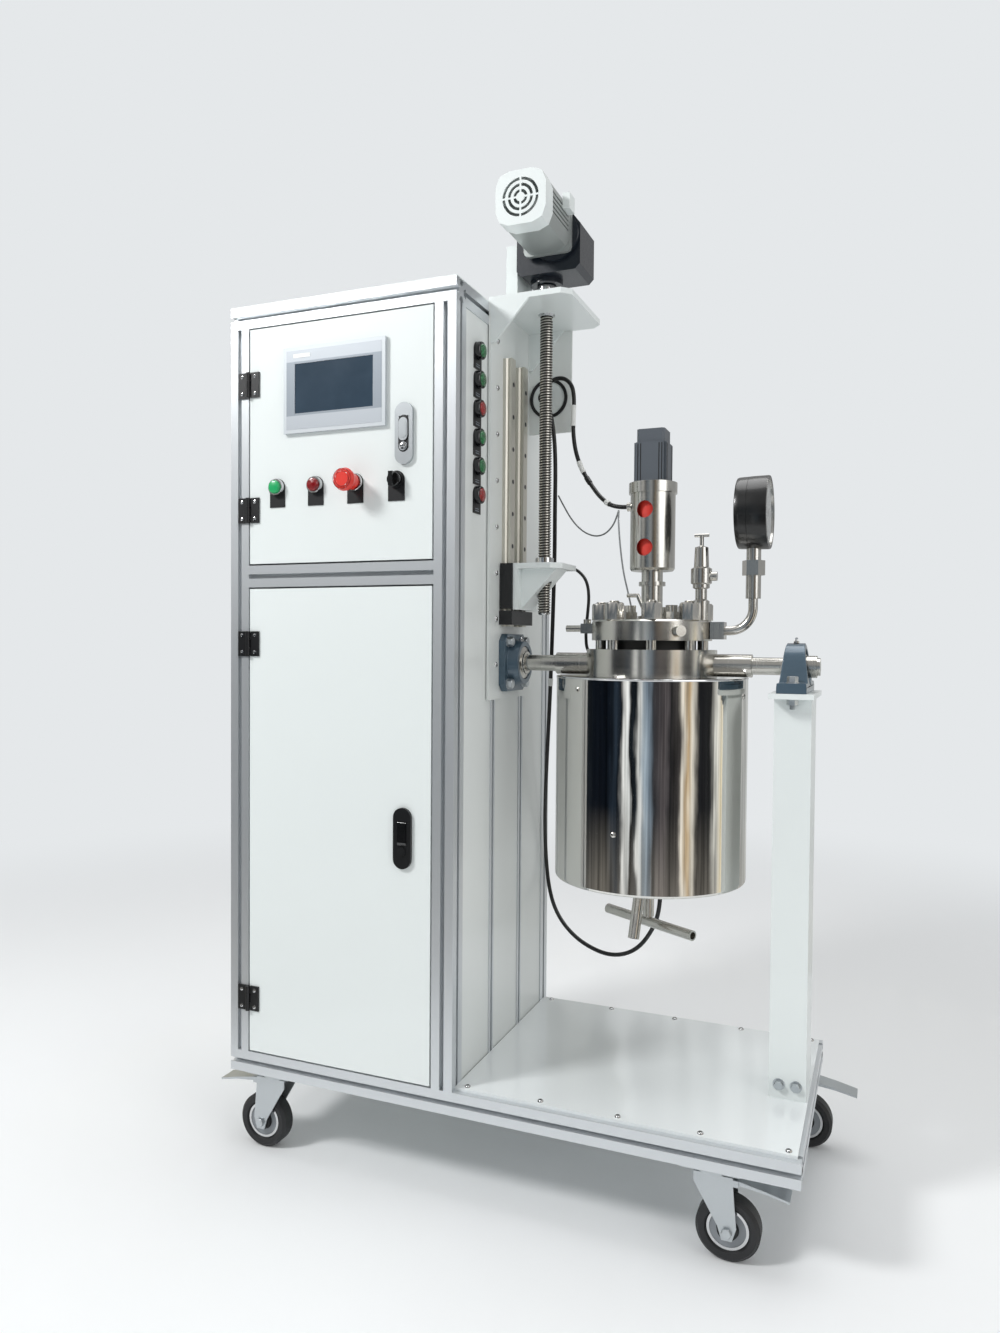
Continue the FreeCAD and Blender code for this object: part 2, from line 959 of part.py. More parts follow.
def make_lift_plate():
    """The plate that carries the lift, the tab welded to its rear edge and the cable bushing."""
    bottom = ground + size.lift_bottom
    top = ground + size.lift_top
    thick = size.lift_thick
    plate = block((side, lift_front, bottom), (thick, size.lift_width, top - bottom))
    tab = block(
        (lift_face, lift_back - thick, top - size.tab_height),
        (size.tab_reach - thick, thick, size.tab_height),
    )
    x = lift_face + size.tab_hole_place
    z = ground + size.tab_hole_level
    hole = rod((x, lift_back - thick - 1, z), size.tab_hole, thick + 2, "Y")
    rim = size.grommet_rim - size.tab_hole
    gap = size.slide_gap
    bushing = fuse(
        rod((x, lift_back - thick - rim, z), size.grommet_rim, rim, "Y"),
        rod((x, lift_back - thick, z), size.tab_hole - gap, thick + rim, "Y"),
        rod((x, lift_back, z), size.grommet_rim, rim, "Y"),
    )
    pocket = rod((x, lift_back - thick - rim - 1, z), size.tab_hole - rim, rim + 1, "Y")
    opening_x, _, opening_z = cable_exit()
    opening = rod(
        (opening_x, lift_back - thick * 3, opening_z),
        size.grommet_hole,
        thick * 3 + rim * 0.6,
        "Y",
    )
    node("lift_plate", plate, cut(tab, hole), cut(bushing, pocket, opening))


def gusset(at, length, drop, thick, blunt):
    """A triangular web under a plate, in the X and Z directions."""
    outline = [(0, 0), (length, 0), (blunt, -drop), (0, -drop)]
    return prism(outline, at, thick, "Y")


def make_top_bracket():
    """The welded bracket at the top of the lift, with the upright that holds the gearbox."""
    z = ground + size.lift_top
    reach = size.bracket_reach
    thick = size.bracket_thick
    width = size.lift_width
    corner = size.lift_bracket_thick * 1.6
    outline = [
        (0, 0),
        (reach - corner, 0),
        (reach, corner),
        (reach, width - corner),
        (reach - corner, width),
        (0, width),
    ]
    plate = prism(outline, (side, lift_front, z), thick)
    web = size.gusset_thick
    drop = size.gusset_size
    blunt = web
    webs = [
        gusset((lift_face, lift_front, z), drop, drop, web, blunt),
        gusset((lift_face, lift_back - size.lift_thick - web, z), drop, drop, web, blunt),
    ]
    stand = block(
        (
            side + size.gearbox_left - size.stand_width + size.lift_thick,
            middle - size.stand_depth / 2,
            z + thick,
        ),
        (size.stand_width, size.stand_depth, size.stand_height),
    )
    hole = rod((screw_x, middle, z - 1), size.journal_radius + size.running_gap, thick + 2)
    node("top_bracket", cut(fuse(plate, stand, *webs), hole))


def rail_centres():
    """The guide rails' places across the lift plate."""
    return (middle - size.rail_spread / 2, middle + size.rail_spread / 2)


def make_guide_rails():
    """Two waisted guide rails, and the stop bar clamped over their lower ends."""
    half = size.rail_width / 2
    tall = size.rail_height
    waist = size.rail_width * 0.14
    outline = [
        (0, -half),
        (tall * 0.35, -half),
        (tall * 0.55, -half + waist),
        (tall * 0.75, -half),
        (tall, -half),
        (tall, half),
        (tall * 0.75, half),
        (tall * 0.55, half - waist),
        (tall * 0.35, half),
        (0, half),
    ]
    bottom = ground + size.rail_bottom
    length = size.rail_top - size.rail_bottom
    rails = [prism(outline, (lift_face, y, bottom), length) for y in rail_centres()]
    low = bottom + size.running_gap * 50
    wide = size.rail_spread + size.block_width
    bar = block((lift_face, middle - wide / 2, low), (size.block_depth, wide, size.stop_bar_height))
    slots = [
        block(
            (lift_face - 1, y - half - size.slide_gap, low - 1),
            (tall + 1 + size.slide_gap, size.rail_width + size.slide_gap * 2, size.stop_bar_height + 2),
        )
        for y in rail_centres()
    ]
    node("guide_rails", cut(bar, *slots), *rails)


def make_lift_carriage():
    """Two guide blocks, the welded bracket bolted on them, and the screw's nut."""
    bottom = ground + size.carriage_bottom
    tall = size.block_height
    clear = size.block_clear
    depth = size.block_depth - clear
    gap = size.slide_gap
    half = size.rail_width / 2 + gap
    blocks = []
    for y in rail_centres():
        body = block(
            (lift_face + clear, y - size.block_width / 2, bottom), (depth, size.block_width, tall)
        )
        slot = block(
            (lift_face, y - half, bottom - 1), (size.rail_height + gap, half * 2, tall + 2)
        )
        blocks.append(cut(body, slot))
    thick = size.lift_bracket_thick
    width = size.lift_bracket_width
    x = lift_face + size.block_depth
    y = middle - width / 2
    top = bottom + tall
    back_plate = block((x, y, bottom - clear), (thick, width, tall + clear))
    reach = size.lift_bracket_reach
    corner = thick * 1.8
    outline = [(0, 0), (reach - corner, 0), (reach, corner), (reach, width), (0, width)]
    top_plate = prism(outline, (x, y, top - thick), thick)
    web = size.web_thick
    run = reach - thick * 1.2
    drop = tall - thick
    start = middle - size.web_spread / 2
    webs = [
        gusset((x, start, top - thick), run, drop, web, thick),
        gusset((x, middle + size.web_spread / 2 - web, top - thick), run, drop, web, thick),
    ]
    slope = [(run - web, 0), (run, 0), (thick, -drop), (thick - web, -drop)]
    sloped = prism(slope, (x, start, top - thick), size.web_spread, "Y")
    nut_body = size.nut_radius * 0.8
    hole = rod((screw_x, middle, top - thick - 1), nut_body + gap, thick + 2)
    passage = rod((screw_x, middle, bottom - thick), nut_body + gap, tall)
    bracket = cut(fuse(back_plate, top_plate, *webs, sloped), hole, passage)
    nut = fuse(
        rod((screw_x, middle, top), size.nut_radius, size.nut_height),
        rod((screw_x, middle, top - tall / 3), nut_body, tall / 3),
    )
    bore = rod((screw_x, middle, bottom), size.screw_radius + size.running_gap, tall * 2)
    node("lift_carriage", bracket, cut(nut, bore), *blocks)


def make_lead_screw():
    """The lift screw, its journal in the top bracket and the coupling to the gearbox."""
    z = ground + size.screw_end
    top = ground + size.lift_top
    radius = size.screw_radius
    journal = size.journal_radius
    coupling = size.coupling_radius
    bracket = top - z
    gap = size.slide_gap
    over = bracket + size.bracket_thick + gap * 2
    end = ground + size.gearbox_bottom - size.output_height - z - gap * 2
    profile = [
        (0, 0),
        (radius * 0.8, 0),
        (radius, radius * 0.2),
        (radius, bracket - gap * 2),
        (journal, bracket - gap * 2),
        (journal, over),
        (coupling, over),
        (coupling, end),
        (radius * 0.7, end),
        (radius * 0.7, end + size.output_height * 3),
        (0, end + size.output_height * 3),
    ]
    node("lead_screw", turned(profile, (screw_x, middle, z)))


def rounded_square(centre, extent, corner, y, length):
    """A square bar along Y with its corners cut back to a circle's tangent."""
    x, z = centre
    half = extent / 2
    chord = corner * 0.29
    outline = [
        (-half + corner, -half),
        (half - corner, -half),
        (half - chord, -half + chord),
        (half, -half + corner),
        (half, half - corner),
        (half - chord, half - chord),
        (half - corner, half),
        (-half + corner, half),
        (-half + chord, half - chord),
        (-half, half - corner),
        (-half, -half + corner),
        (-half + chord, -half + chord),
    ]
    return prism(outline, (x, y, z), length, "Y")


def make_gearmotor():
    """The lift's right-angle gearbox, its finned motor and the slotted fan cover."""
    x = side + size.lift_thick + size.gearbox_left
    z = ground + size.gearbox_bottom
    width = size.gearbox_width
    tall = size.gearbox_height
    chamfer = size.output_height
    outline = [
        (0, chamfer),
        (chamfer, 0),
        (width - chamfer, 0),
        (width, chamfer),
        (width, tall * 0.72),
        (width * 0.8, tall),
        (chamfer, tall),
        (0, tall - chamfer),
    ]
    depth = size.gearbox_depth
    y = middle - depth / 2
    body = prism(outline, (x, y, z), depth, "Y")
    flange = rod((screw_x, middle, z - size.output_height), size.output_radius, size.output_height)
    dome = rod((x + width * 0.62, y - chamfer, z + tall * 0.55), tall * 0.4, chamfer, "Y")
    rear = rod((x + width * 0.5, y + depth, z + tall * 0.5), tall * 0.36, chamfer, "Y")
    bore = rod(
        (screw_x, middle, z - size.output_height - 1),
        size.screw_radius * 0.7 + size.running_gap,
        size.output_height * 4,
    )
    mouth = rod(
        (screw_x, middle, z - size.output_height - 1), size.coupling_radius, size.output_height
    )
    gearbox = cut(fuse(body, flange, dome, rear), bore, mouth)
    centre = (left + size.cabinet_width + size.lift_thick + size.motor_place, ground + size.motor_level)
    face = y - chamfer
    extent = size.motor_size
    plate = rounded_square(centre, extent, size.output_height, face - size.motor_flange, size.motor_flange)
    start = face - size.motor_flange - size.motor_length
    motor = rounded_square(centre, extent - 2, size.motor_corner, start, size.motor_length)
    grooves = []
    depth_cut = size.output_height / 3
    for index in range(5):
        offset = (index - 2) * size.output_height * 0.9
        for sign in (-1, 1):
            low = centre[0] + sign * (extent / 2 - 1 - depth_cut / 2) - depth_cut / 2
            grooves.append(
                block((low, start - 1, centre[1] + offset), (depth_cut, size.motor_length * 0.9, depth_cut))
            )
    motor = cut(motor, *grooves)
    cover_start = start - size.fan_cover_length
    cover = rounded_square(centre, extent, size.motor_corner, cover_start, size.fan_cover_length)
    hollow = rod(
        (centre[0], cover_start + size.label_thick, centre[1]),
        extent / 2 - size.leaf_thick,
        size.fan_cover_length,
        "Y",
    )
    slots = []
    for ring in range(3):
        outer = extent * (0.36 - 0.11 * ring)
        band = cut(
            rod((centre[0], cover_start - 1, centre[1]), outer, size.leaf_thick * 2, "Y"),
            rod((centre[0], cover_start - 2, centre[1]), outer - extent * 0.055, size.leaf_thick * 3, "Y"),
        )
        slots.append(band)
    spoke = size.label_thick
    spokes = [
        block(
            (centre[0] - extent / 2, cover_start, centre[1] - spoke), (extent, spoke, spoke * 2)
        ),
        block(
            (centre[0] - spoke, cover_start, centre[1] - extent / 2), (spoke * 2, spoke, extent)
        ),
    ]
    shell = cut(cover, hollow)
    grille = cut(shell, *slots)
    guard = fuse(grille, *[common(spoke, cover) for spoke in spokes])
    terminal = block(
        (centre[0] + extent / 2 - 1, start + size.motor_length * 0.55, centre[1] + extent * 0.12),
        (size.output_height * 1.4, size.motor_length * 0.3, extent * 0.3),
    )
    node("lift_gearmotor", gearbox, fuse(plate, motor), guard, terminal)


def make_bearings():
    """The flange bearing on the lift plate and the pillow block on the column."""
    extent = size.flange_bearing_size
    thick = size.flange_bearing_thick
    hub = size.flange_bearing_hub
    corner = thick
    half = extent / 2
    outline = [
        (-half + corner, -half),
        (half - corner, -half),
        (half, -half + corner),
        (half, half - corner),
        (half - corner, half),
        (-half + corner, half),
        (-half, half - corner),
        (-half, -half + corner),
    ]
    flange = prism(outline, (lift_face, middle, trunnion), thick, "X")
    bore = size.insert_radius
    boss = taper(
        (lift_face + thick, middle, trunnion),
        size.bearing_hub_radius * 1.12,
        size.bearing_hub_radius,
        hub,
        "X",
    )
    room = rod((lift_face - 1, middle, trunnion), bore, thick + hub + 2, "X")
    insert_width = size.insert_width
    gap = size.running_gap

    def insert(x):
        """A ball bearing's rings as one turned solid with the shaft's bore."""
        inner = size.shaft_radius + gap
        outer = bore - gap
        step = insert_width * 0.18
        profile = [
            (inner, 0),
            (inner + step, 0),
            (outer, step),
            (outer, insert_width * 0.8),
            (inner + step, insert_width * 0.86),
            (inner + step, insert_width),
            (inner, insert_width),
        ]
        return turned(profile, (x, middle, trunnion), "X")

    node(
        "flange_bearing",
        cut(fuse(flange, boss), room),
        insert(lift_face + thick + hub - insert_width * 0.86),
    )
    x = column_x + size.column_width / 2
    width = size.pillow_width
    base = trunnion - size.pillow_centre
    length = size.pillow_length
    foot = size.pillow_foot
    hub_radius = size.bearing_hub_radius
    arch = []
    steps = 8
    for index in range(steps + 1):
        angle = math.radians(-10 + 200 * index / steps)
        arch.append(
            (hub_radius * math.cos(angle), size.pillow_centre + hub_radius * math.sin(angle))
        )
    outline = [(-length / 2, 0), (length / 2, 0), (length / 2, foot), (hub_radius * 1.2, foot)]
    outline += arch
    outline += [(-hub_radius * 1.2, foot), (-length / 2, foot)]
    casting = prism(outline, (x - width / 2, middle, base), width, "X")
    top = size.pillow_top_width
    tall = size.pillow_centre + hub_radius + 1
    wedge = prism(
        [
            (-width / 2, -1),
            (width / 2, -1),
            (width / 2, foot * 0.6),
            (top / 2, tall),
            (-top / 2, tall),
            (-width / 2, foot * 0.6),
        ],
        (x, middle - length / 2 - 1, base),
        length + 2,
        "Y",
    )
    body = common(casting, wedge)
    room = rod((x - width, middle, trunnion), bore, width * 2, "X")
    node("pillow_block", cut(body, room), insert(x - insert_width * 0.5))


def make_column():
    """The square tube that carries the right trunnion, with its welded top plate."""
    wall = size.column_wall
    width = size.column_width
    depth = size.column_depth
    low = base_top + size.deck_thick
    shelf = trunnion - size.pillow_centre - size.shelf_thick
    y = middle - depth / 2
    outer = block((column_x, y, low), (width, depth, shelf - low))
    inner = block(
        (column_x + wall, y + wall, low - 1), (width - wall * 2, depth - wall * 2, shelf - low + 1)
    )
    plate = block(
        (column_x + width / 2 - size.shelf_width / 2, middle - size.shelf_depth / 2, shelf),
        (size.shelf_width, size.shelf_depth, size.shelf_thick),
    )
    node("column", fuse(cut(outer, inner), plate))


def hexagon(at, flats, length, axis="Z"):
    """A six-sided head or nut."""
    thing = document.addObject("Part::Prism", "hexagon")
    thing.Polygon = 6
    bind(thing, "Circumradius", flats / math.sqrt(3))
    bind(thing, "Height", length)
    return place(thing, at, AXES[axis])


def make_fasteners():
    """Button screws on the deck and the lift plate, and the hexagon bolts of the bearings."""
    screws = []
    radius = size.knuckle_radius * 1.2
    head = size.leaf_thick
    deck = base_top + size.deck_thick
    inset = size.deck_inset + size.profile / 4
    span = -left - side - size.profile
    for row_y in (front + inset, back - inset):
        for index in range(5):
            x = side + size.profile / 2 + span * index / 4
            screws.append(rod((x, row_y, deck), radius, head))
    bottom = ground + size.lift_bottom
    tall = size.lift_top - size.lift_bottom
    for index in range(8):
        z = bottom + tall * (index * 0.118 + 0.09)
        y = front + size.mullion_front + size.mullion_width / 2
        screws.append(rod((lift_face, y, z), radius, head, "X"))
    flats = size.mullion_width * 0.8
    corner = size.flange_bearing_size / 2 - size.flange_bearing_thick * 1.15
    plate = lift_face + size.flange_bearing_thick
    for sign_y in (-1, 1):
        for sign_z in (-1, 1):
            at = (plate, middle + corner * sign_y, trunnion + corner * sign_z)
            screws.append(hexagon(at, flats, size.bracket_thick, "X"))
    x = column_x + size.column_width / 2
    foot = trunnion - size.pillow_centre
    for sign in (-1, 1):
        y = middle + size.pillow_pitch / 2 * sign
        screws.append(hexagon((x, y, foot + size.pillow_foot), flats, size.bracket_thick))
        under = foot - size.shelf_thick
        screws.append(hexagon((x, y, under - size.bracket_thick), flats, size.bracket_thick))
        screws.append(
            rod((x, y, under - size.bracket_thick * 1.8), flats * 0.3, size.bracket_thick * 0.8)
        )
    face = middle - size.column_depth / 2
    for share in (0.27, 0.73):
        at = (column_x + size.column_width * share, face - size.pillow_foot / 2, deck + size.profile * 0.6)
        screws.append(hexagon(at, flats, size.pillow_foot / 2, "Y"))
    node("frame_screws", *screws)


def make_trunnions():
    """The two trunnion shafts with their thicker sleeves, and the collar at the right end."""
    radius = size.shaft_radius
    sleeve = size.sleeve_radius
    shell = size.pot_radius
    seat = shell - size.pot_floor / 2
    start = lift_face + size.flange_bearing_thick / 2
    length = vessel_x - seat - start
    profile = [
        (0, 0),
        (radius, 0),
        (radius, length - size.sleeve_length - size.pot_floor / 2),
        (sleeve, length - size.sleeve_length - size.pot_floor / 2),
        (sleeve, length),
        (0, length),
    ]
    left_shaft = turned(profile, (start, middle, trunnion), "X")
    collar = size.pillow_foot
    pillow = column_x + size.column_width / 2
    reach = pillow + size.insert_width / 2 + size.slide_gap - vessel_x - seat
    profile = [
        (0, 0),
        (sleeve, 0),
        (sleeve, size.sleeve_length + size.pot_floor / 2),
        (radius, size.sleeve_length + size.pot_floor / 2),
        (radius, reach),
        (radius * 1.25, reach),
        (radius * 1.25, reach + collar),
        (radius, reach + collar),
        (radius, reach + collar * 1.3),
        (0, reach + collar * 1.3),
    ]
    right_shaft = turned(profile, (vessel_x + seat, middle, trunnion), "X")
    node("trunnion_shafts", left_shaft, right_shaft)


def heater_gland():
    """Where the heater's cable enters the jacket's floor."""
    return vessel_x + 11, middle + 50


def make_vessel():
    """The polished jacket, the thick-walled pot in it, the lid and its nuts."""
    outer = size.jacket_radius
    wall = size.jacket_wall
    low = ground + size.jacket_bottom
    tall = size.jacket_top - size.jacket_bottom
    soft = size.jacket_round
    hole = size.pot_body_radius + size.slide_gap
    drain = size.drain_radius * 1.6
    profile = [
        (drain, 0),
        (outer - soft, 0),
        (outer - soft * 0.38, soft * 0.12),
        (outer - soft * 0.12, soft * 0.38),
        (outer, soft),
        (outer, tall),
        (hole, tall),
        (hole, tall - wall),
        (outer - wall, tall - wall),
        (outer - wall, soft),
        (outer - soft, wall),
        (drain, wall),
    ]
    shell = turned(profile, (vessel_x, middle, low))
    gland_x, gland_y = heater_gland()
    gland = rod(
        (gland_x, gland_y, low - size.gland_length), size.gland_radius, size.gland_length + wall / 2
    )
    node("jacket", fuse(shell, gland))
    base = ground + size.pot_bottom
    top = size.pot_top - size.pot_bottom
    neck = size.jacket_top - size.pot_bottom + size.slide_gap
    shell = size.pot_radius
    body = size.pot_body_radius
    bore = size.pot_bore
    floor = size.pot_floor
    outlet = size.outlet_bore
    collar = size.collar_radius
    foot = (vessel_x, middle, base)
    dish = turned(
        [
            (outlet, 0),
            (body * 0.6, 0),
            (body * 0.9, floor),
            (body, floor * 3),
            (bore, floor * 3),
            (bore * 0.8, floor * 1.5),
            (bore * 0.5, floor),
            (outlet, floor),
        ],
        foot,
    )
    barrel = turned(
        [
            (bore, floor * 3),
            (body, floor * 3),
            (body, neck),
            (collar, neck),
            (collar, top),
            (bore, top),
        ],
        foot,
    )
    ring = collar + size.running_gap
    flange = turned([(ring, neck), (shell, neck), (shell, top), (ring, top)], foot)
    studs = stud_places()
    seats = []
    sockets = [
        rod((vessel_x - shell - 1, middle, trunnion), size.sleeve_radius, floor / 2 + 1, "X"),
        rod((vessel_x + shell - floor / 2, middle, trunnion), size.sleeve_radius, floor / 2 + 1, "X"),
    ]
    seat_depth = size.lid_gap
    for x, y in studs:
        seats.append(
            rod((x, y, ground + size.pot_top - seat_depth), size.stud_radius, seat_depth + 1)
        )
    seal = size.gasket_radius - size.gasket_width
    gasket = turned(
        [
            (seal, 0),
            (size.gasket_radius, 0),
            (size.gasket_radius, size.lid_gap),
            (seal, size.lid_gap),
        ],
        (vessel_x, middle, ground + size.pot_top),
    )
    lead = math.radians(160)
    boss_turn = Rotation(Vector(0, 0, 1), 160).multiply(AXES["X"])
    inner = shell - size.gland_length / 2
    boss = rod(
        (
            vessel_x + inner * math.cos(lead),
            middle + inner * math.sin(lead),
            trunnion + size.drive_gland_length,
        ),
        size.gland_radius,
        size.gland_length,
        rotation=boss_turn,
    )
    node("pot", cut(fuse(flange, boss), *seats, *sockets), barrel, dish, gasket)
    make_lid(studs)


def stud_places():
    """The lid studs' places on their circle."""
    count = int(float(size.stud_count))
    places = []
    for index in range(count):
        angle = math.radians(360.0 * index / count + float(size.stud_turn))
        places.append(
            (
                vessel_x + size.stud_circle * math.cos(angle),
                middle + size.stud_circle * math.sin(angle),
            )
        )
    return places


def lid_top():
    """The height of the lid's upper face."""
    return ground + size.pot_top + size.lid_gap + size.lid_thick


def make_lid(studs):
    """The lid with its small ports, and the eight studs with their nuts."""
    low = ground + size.pot_top + size.lid_gap
    top = lid_top()
    radius = size.lid_radius
    soft = size.leaf_thick
    thick = size.lid_thick
    profile = [
        (size.stirrer_radius + size.running_gap, 0),
        (radius, 0),
        (radius, thick - soft),
        (radius - soft, thick),
        (size.stirrer_radius + size.running_gap, thick),
    ]
    disc = turned(profile, (vessel_x, middle, low))
    holes = [
        rod((x, y, low - 1), size.stud_radius + size.slide_gap, thick + 2) for x, y in studs
    ]
    port_wall = size.outlet_radius
    port_tall = size.lid_nut_height
    ports = []
    for angle_deg, reach, scale in ((230, 0.43, 1.0), (318, 0.56, 1.15), (75, 0.5, 1.0)):
        angle = math.radians(angle_deg)
        at = (
            vessel_x + radius * reach * math.cos(angle),
            middle + radius * reach * math.sin(angle),
            top - 1,
        )
        ports.append(rod(at, port_wall * scale * 0.9, port_tall * 0.9))
        ports.append(hexagon(at, port_wall * scale * 2, port_tall * 0.5))
    edge = radius - soft
    angle = math.radians(-52)
    stub_turn = Rotation(Vector(0, 0, 1), -52).multiply(Rotation(Vector(0, 1, 0), 90))
    at = (
        vessel_x + edge * 0.97 * math.cos(angle),
        middle + edge * 0.97 * math.sin(angle),
        low + thick * 0.45,
    )
    stub = rod(at, port_wall * 0.95, port_wall * 1.7, rotation=stub_turn)
    valve_x = vessel_x - radius - port_wall * 2.4
    valve = block(
        (valve_x, middle - port_wall, low + thick * 0.35),
        (port_wall * 2.9, port_wall * 2, port_wall * 1.8),
    )
    valve_level = low + thick * 0.35 + port_wall * 0.9
    stem = rod((valve_x - port_wall * 3, middle, valve_level), port_wall * 0.6, port_wall * 3.2, "X")
    boss = rod((valve_x + port_wall, middle, valve_level), port_wall * 0.7, port_wall * 1.7)
    grip_radius = size.thermowell_radius
    lean = float(size.thermowell_lean)
    foot = (vessel_x + size.thermowell_place, middle - size.thermowell_front, top - 1)
    slope = Rotation(Vector(0, 1, 0), -lean)
    stalk_length = size.thermowell_height / math.cos(math.radians(lean))
    stalk = rod(foot, grip_radius, stalk_length, rotation=slope)
    bend_x = foot[0] - size.thermowell_height * math.tan(math.radians(lean))
    bend_z = foot[2] + size.thermowell_height
    knee = document.addObject("Part::Sphere", "knee")
    bind(knee, "Radius", grip_radius)
    place(knee, (bend_x, foot[1], bend_z))
    grip = rod((bend_x - size.thermowell_grip, foot[1], bend_z), grip_radius, size.thermowell_grip, "X")
    collar = hexagon(foot, grip_radius * 4, grip_radius * 2)
    fittings = [stub, valve, stem, boss, stalk, knee, grip, collar]
    node("lid", cut(fuse(disc, *ports, *fittings), *holes))
    nuts = []
    bottom = ground + size.pot_top - size.lid_gap
    for x, y in studs:
        stud_length = top - bottom + size.lid_nut_height / 2
        stud = rod((x, y, bottom), size.stud_radius - size.slide_gap, stud_length)
        nuts.append(fuse(stud, hexagon((x, y, top), size.nut_flats, size.lid_nut_height)))
    node("lid_nuts", *nuts)


def drive_gland_rise():
    """The height of the drive's cable gland over the housing's foot."""
    return size.window_high + size.window_radius * 0.7


def make_drive():
    """The magnetic drive: neck, windowed housing, ring, servo motor, and the stirrer inside."""
    z = lid_top()
    neck = size.neck_height
    tall = size.housing_height
    radius = size.housing_radius
    wall = size.housing_wall
    inner = radius - wall
    shaft = size.stirrer_radius + size.running_gap
    flare = size.neck_radius * 1.35
    profile = [
        (shaft, 0),
        (flare, 0),
        (flare, wall * 2),
        (size.neck_radius, wall * 2),
        (size.neck_radius, neck * 0.7),
        (size.neck_radius * 1.25, neck * 0.7),
        (size.neck_radius * 1.25, neck * 0.78),
        (size.neck_radius, neck * 0.78),
        (size.neck_radius, neck),
        (radius * 0.93, neck),
        (radius, neck + wall),
        (radius, neck + tall),
        (size.ring_radius, neck + tall),
        (size.ring_radius, neck + tall + size.ring_height),
        (shaft, neck + tall + size.ring_height),
        (shaft, neck + tall),
        (inner, neck + tall),
        (inner, neck + wall * 2),
        (shaft, neck + wall * 2),
    ]
    housing = turned(profile, (vessel_x, middle, z))
    facing = Rotation(Vector(0, 0, 1), -float(size.window_turn)).multiply(
        Rotation(Vector(1, 0, 0), 90)
    )
    windows = [
        rod((vessel_x, middle, z + neck + level), size.window_radius, radius + 1, rotation=facing)
        for level in (size.window_low, size.window_high)
    ]
    gland = rod(
        (vessel_x - radius - size.drive_gland_length, middle, z + neck + drive_gland_rise()),
        size.gland_radius,
        size.drive_gland_length + wall,
        "X",
    )
    node("drive_housing", cut(fuse(housing, gland), *windows))
    motor_z = z + neck + tall + size.ring_height
    extent = size.drive_size
    cap = size.drive_cap_size
    notch = wall
    half = extent / 2
    outline = [
        (-half, -half + notch),
        (-half + notch, -half + notch),
        (-half + notch, -half),
        (half - notch, -half),
        (half - notch, -half + notch),
        (half, -half + notch),
        (half, half - notch),
        (half - notch, half - notch),
        (half - notch, half),
        (-half + notch, half),
        (-half + notch, half - notch),
        (-half, half - notch),
    ]
    motor = prism(outline, (vessel_x, middle, motor_z), size.drive_height)
    edge = cap / 2
    cap_outline = [
        (-edge, -edge + notch),
        (-edge + notch, -edge),
        (edge - notch, -edge),
        (edge, -edge + notch),
        (edge, edge - notch),
        (edge - notch, edge),
        (-edge + notch, edge),
        (-edge, edge - notch),
    ]
    lid = prism(cap_outline, (vessel_x, middle, motor_z + size.drive_height), size.drive_cap_height)
    node("drive_motor", fuse(motor, lid))
    rotor_low = z + neck + wall * 3
    rotor = rod((vessel_x, middle, rotor_low), size.rotor_radius, tall - wall * 4)
    end = ground + size.stirrer_end
    shaft_rod = rod((vessel_x, middle, end), size.stirrer_radius, rotor_low - end + 1)
    hub = rod((vessel_x, middle, end), size.stirrer_radius * 1.9, size.blade_height)
    blades = []
    for turn in range(4):
        blade = document.addObject("Part::Box", "blade")
        bind(blade, "Length", size.blade_reach)
        bind(blade, "Width", size.blade_thick)
        bind(blade, "Height", size.blade_height * 1.2)
        tilt = Rotation(Vector(0, 0, 1), 90 * turn).multiply(Rotation(Vector(1, 0, 0), 35))
        blades.append(place(blade, (vessel_x, middle, end + size.blade_height * 0.1), tilt))
    node("stirrer", fuse(rotor, shaft_rod, hub, *blades))


def make_safety_valve():
    """The spring safety valve on the lid: base, neck, body with side outlet, bonnet and tee."""
    x = vessel_x + size.valve_reach * math.cos(math.radians(-9))
    y = middle + size.valve_reach * math.sin(math.radians(-9))
    z = lid_top()
    unit = size.valve_unit
    profile = [
        (0, 0),
        (unit * 1.45, 0),
        (unit * 1.45, unit * 3.3),
        (unit * 1.0, unit * 3.6),
        (unit * 1.0, unit * 5.4),
        (unit * 1.45, unit * 5.6),
        (unit * 1.45, unit * 6.2),
        (unit * 1.8, unit * 6.4),
        (unit * 1.8, unit * 8.9),
        (unit * 1.3, unit * 9.2),
        (unit * 1.15, unit * 12.6),
        (unit * 0.35, unit * 12.9),
        (unit * 0.35, unit * 14.6),
        (0, unit * 14.6),
    ]
    body = turned(profile, (x, y, z))
    outlet = rod((x, y, z + unit * 7.6), unit * 0.8, unit * 2.7, "X")
    tee = rod((x - unit * 1.25, y, z + unit * 14.7), unit * 0.3, unit * 2.5, "X")
    node("safety_valve", fuse(body, outlet, tee))


def path_wire(points):
    """Straight runs joined by tangent arcs, each as large as its two runs allow."""
    corners = [Vector(*[float(number) for number in point]) for point in points]
    edges = []
    radii = []
    start = corners[0]
    for index in range(1, len(corners) - 1):
        before, corner, after = corners[index - 1], corners[index], corners[index + 1]
        towards = (corner - before).normalize()
        away = (after - corner).normalize()
        turn = math.acos(max(-1.0, min(1.0, towards.dot(away))))
        shorter = min((corner - before).Length, (after - corner).Length)
        cut_back = 0.45 * shorter
        radii.append(cut_back / math.tan(turn / 2))
        enter = corner - towards * cut_back
        leave = corner + away * cut_back
        bow = (away - towards).normalize()
        centre_gap = radii[-1] / math.cos(turn / 2)
        through = corner + bow * (centre_gap - radii[-1])
        edges.append(Part.LineSegment(start, enter).toShape())
        edges.append(Part.Arc(enter, through, leave).toShape())
        start = leave
    edges.append(Part.LineSegment(start, corners[-1]).toShape())
    return Part.Wire(edges), radii


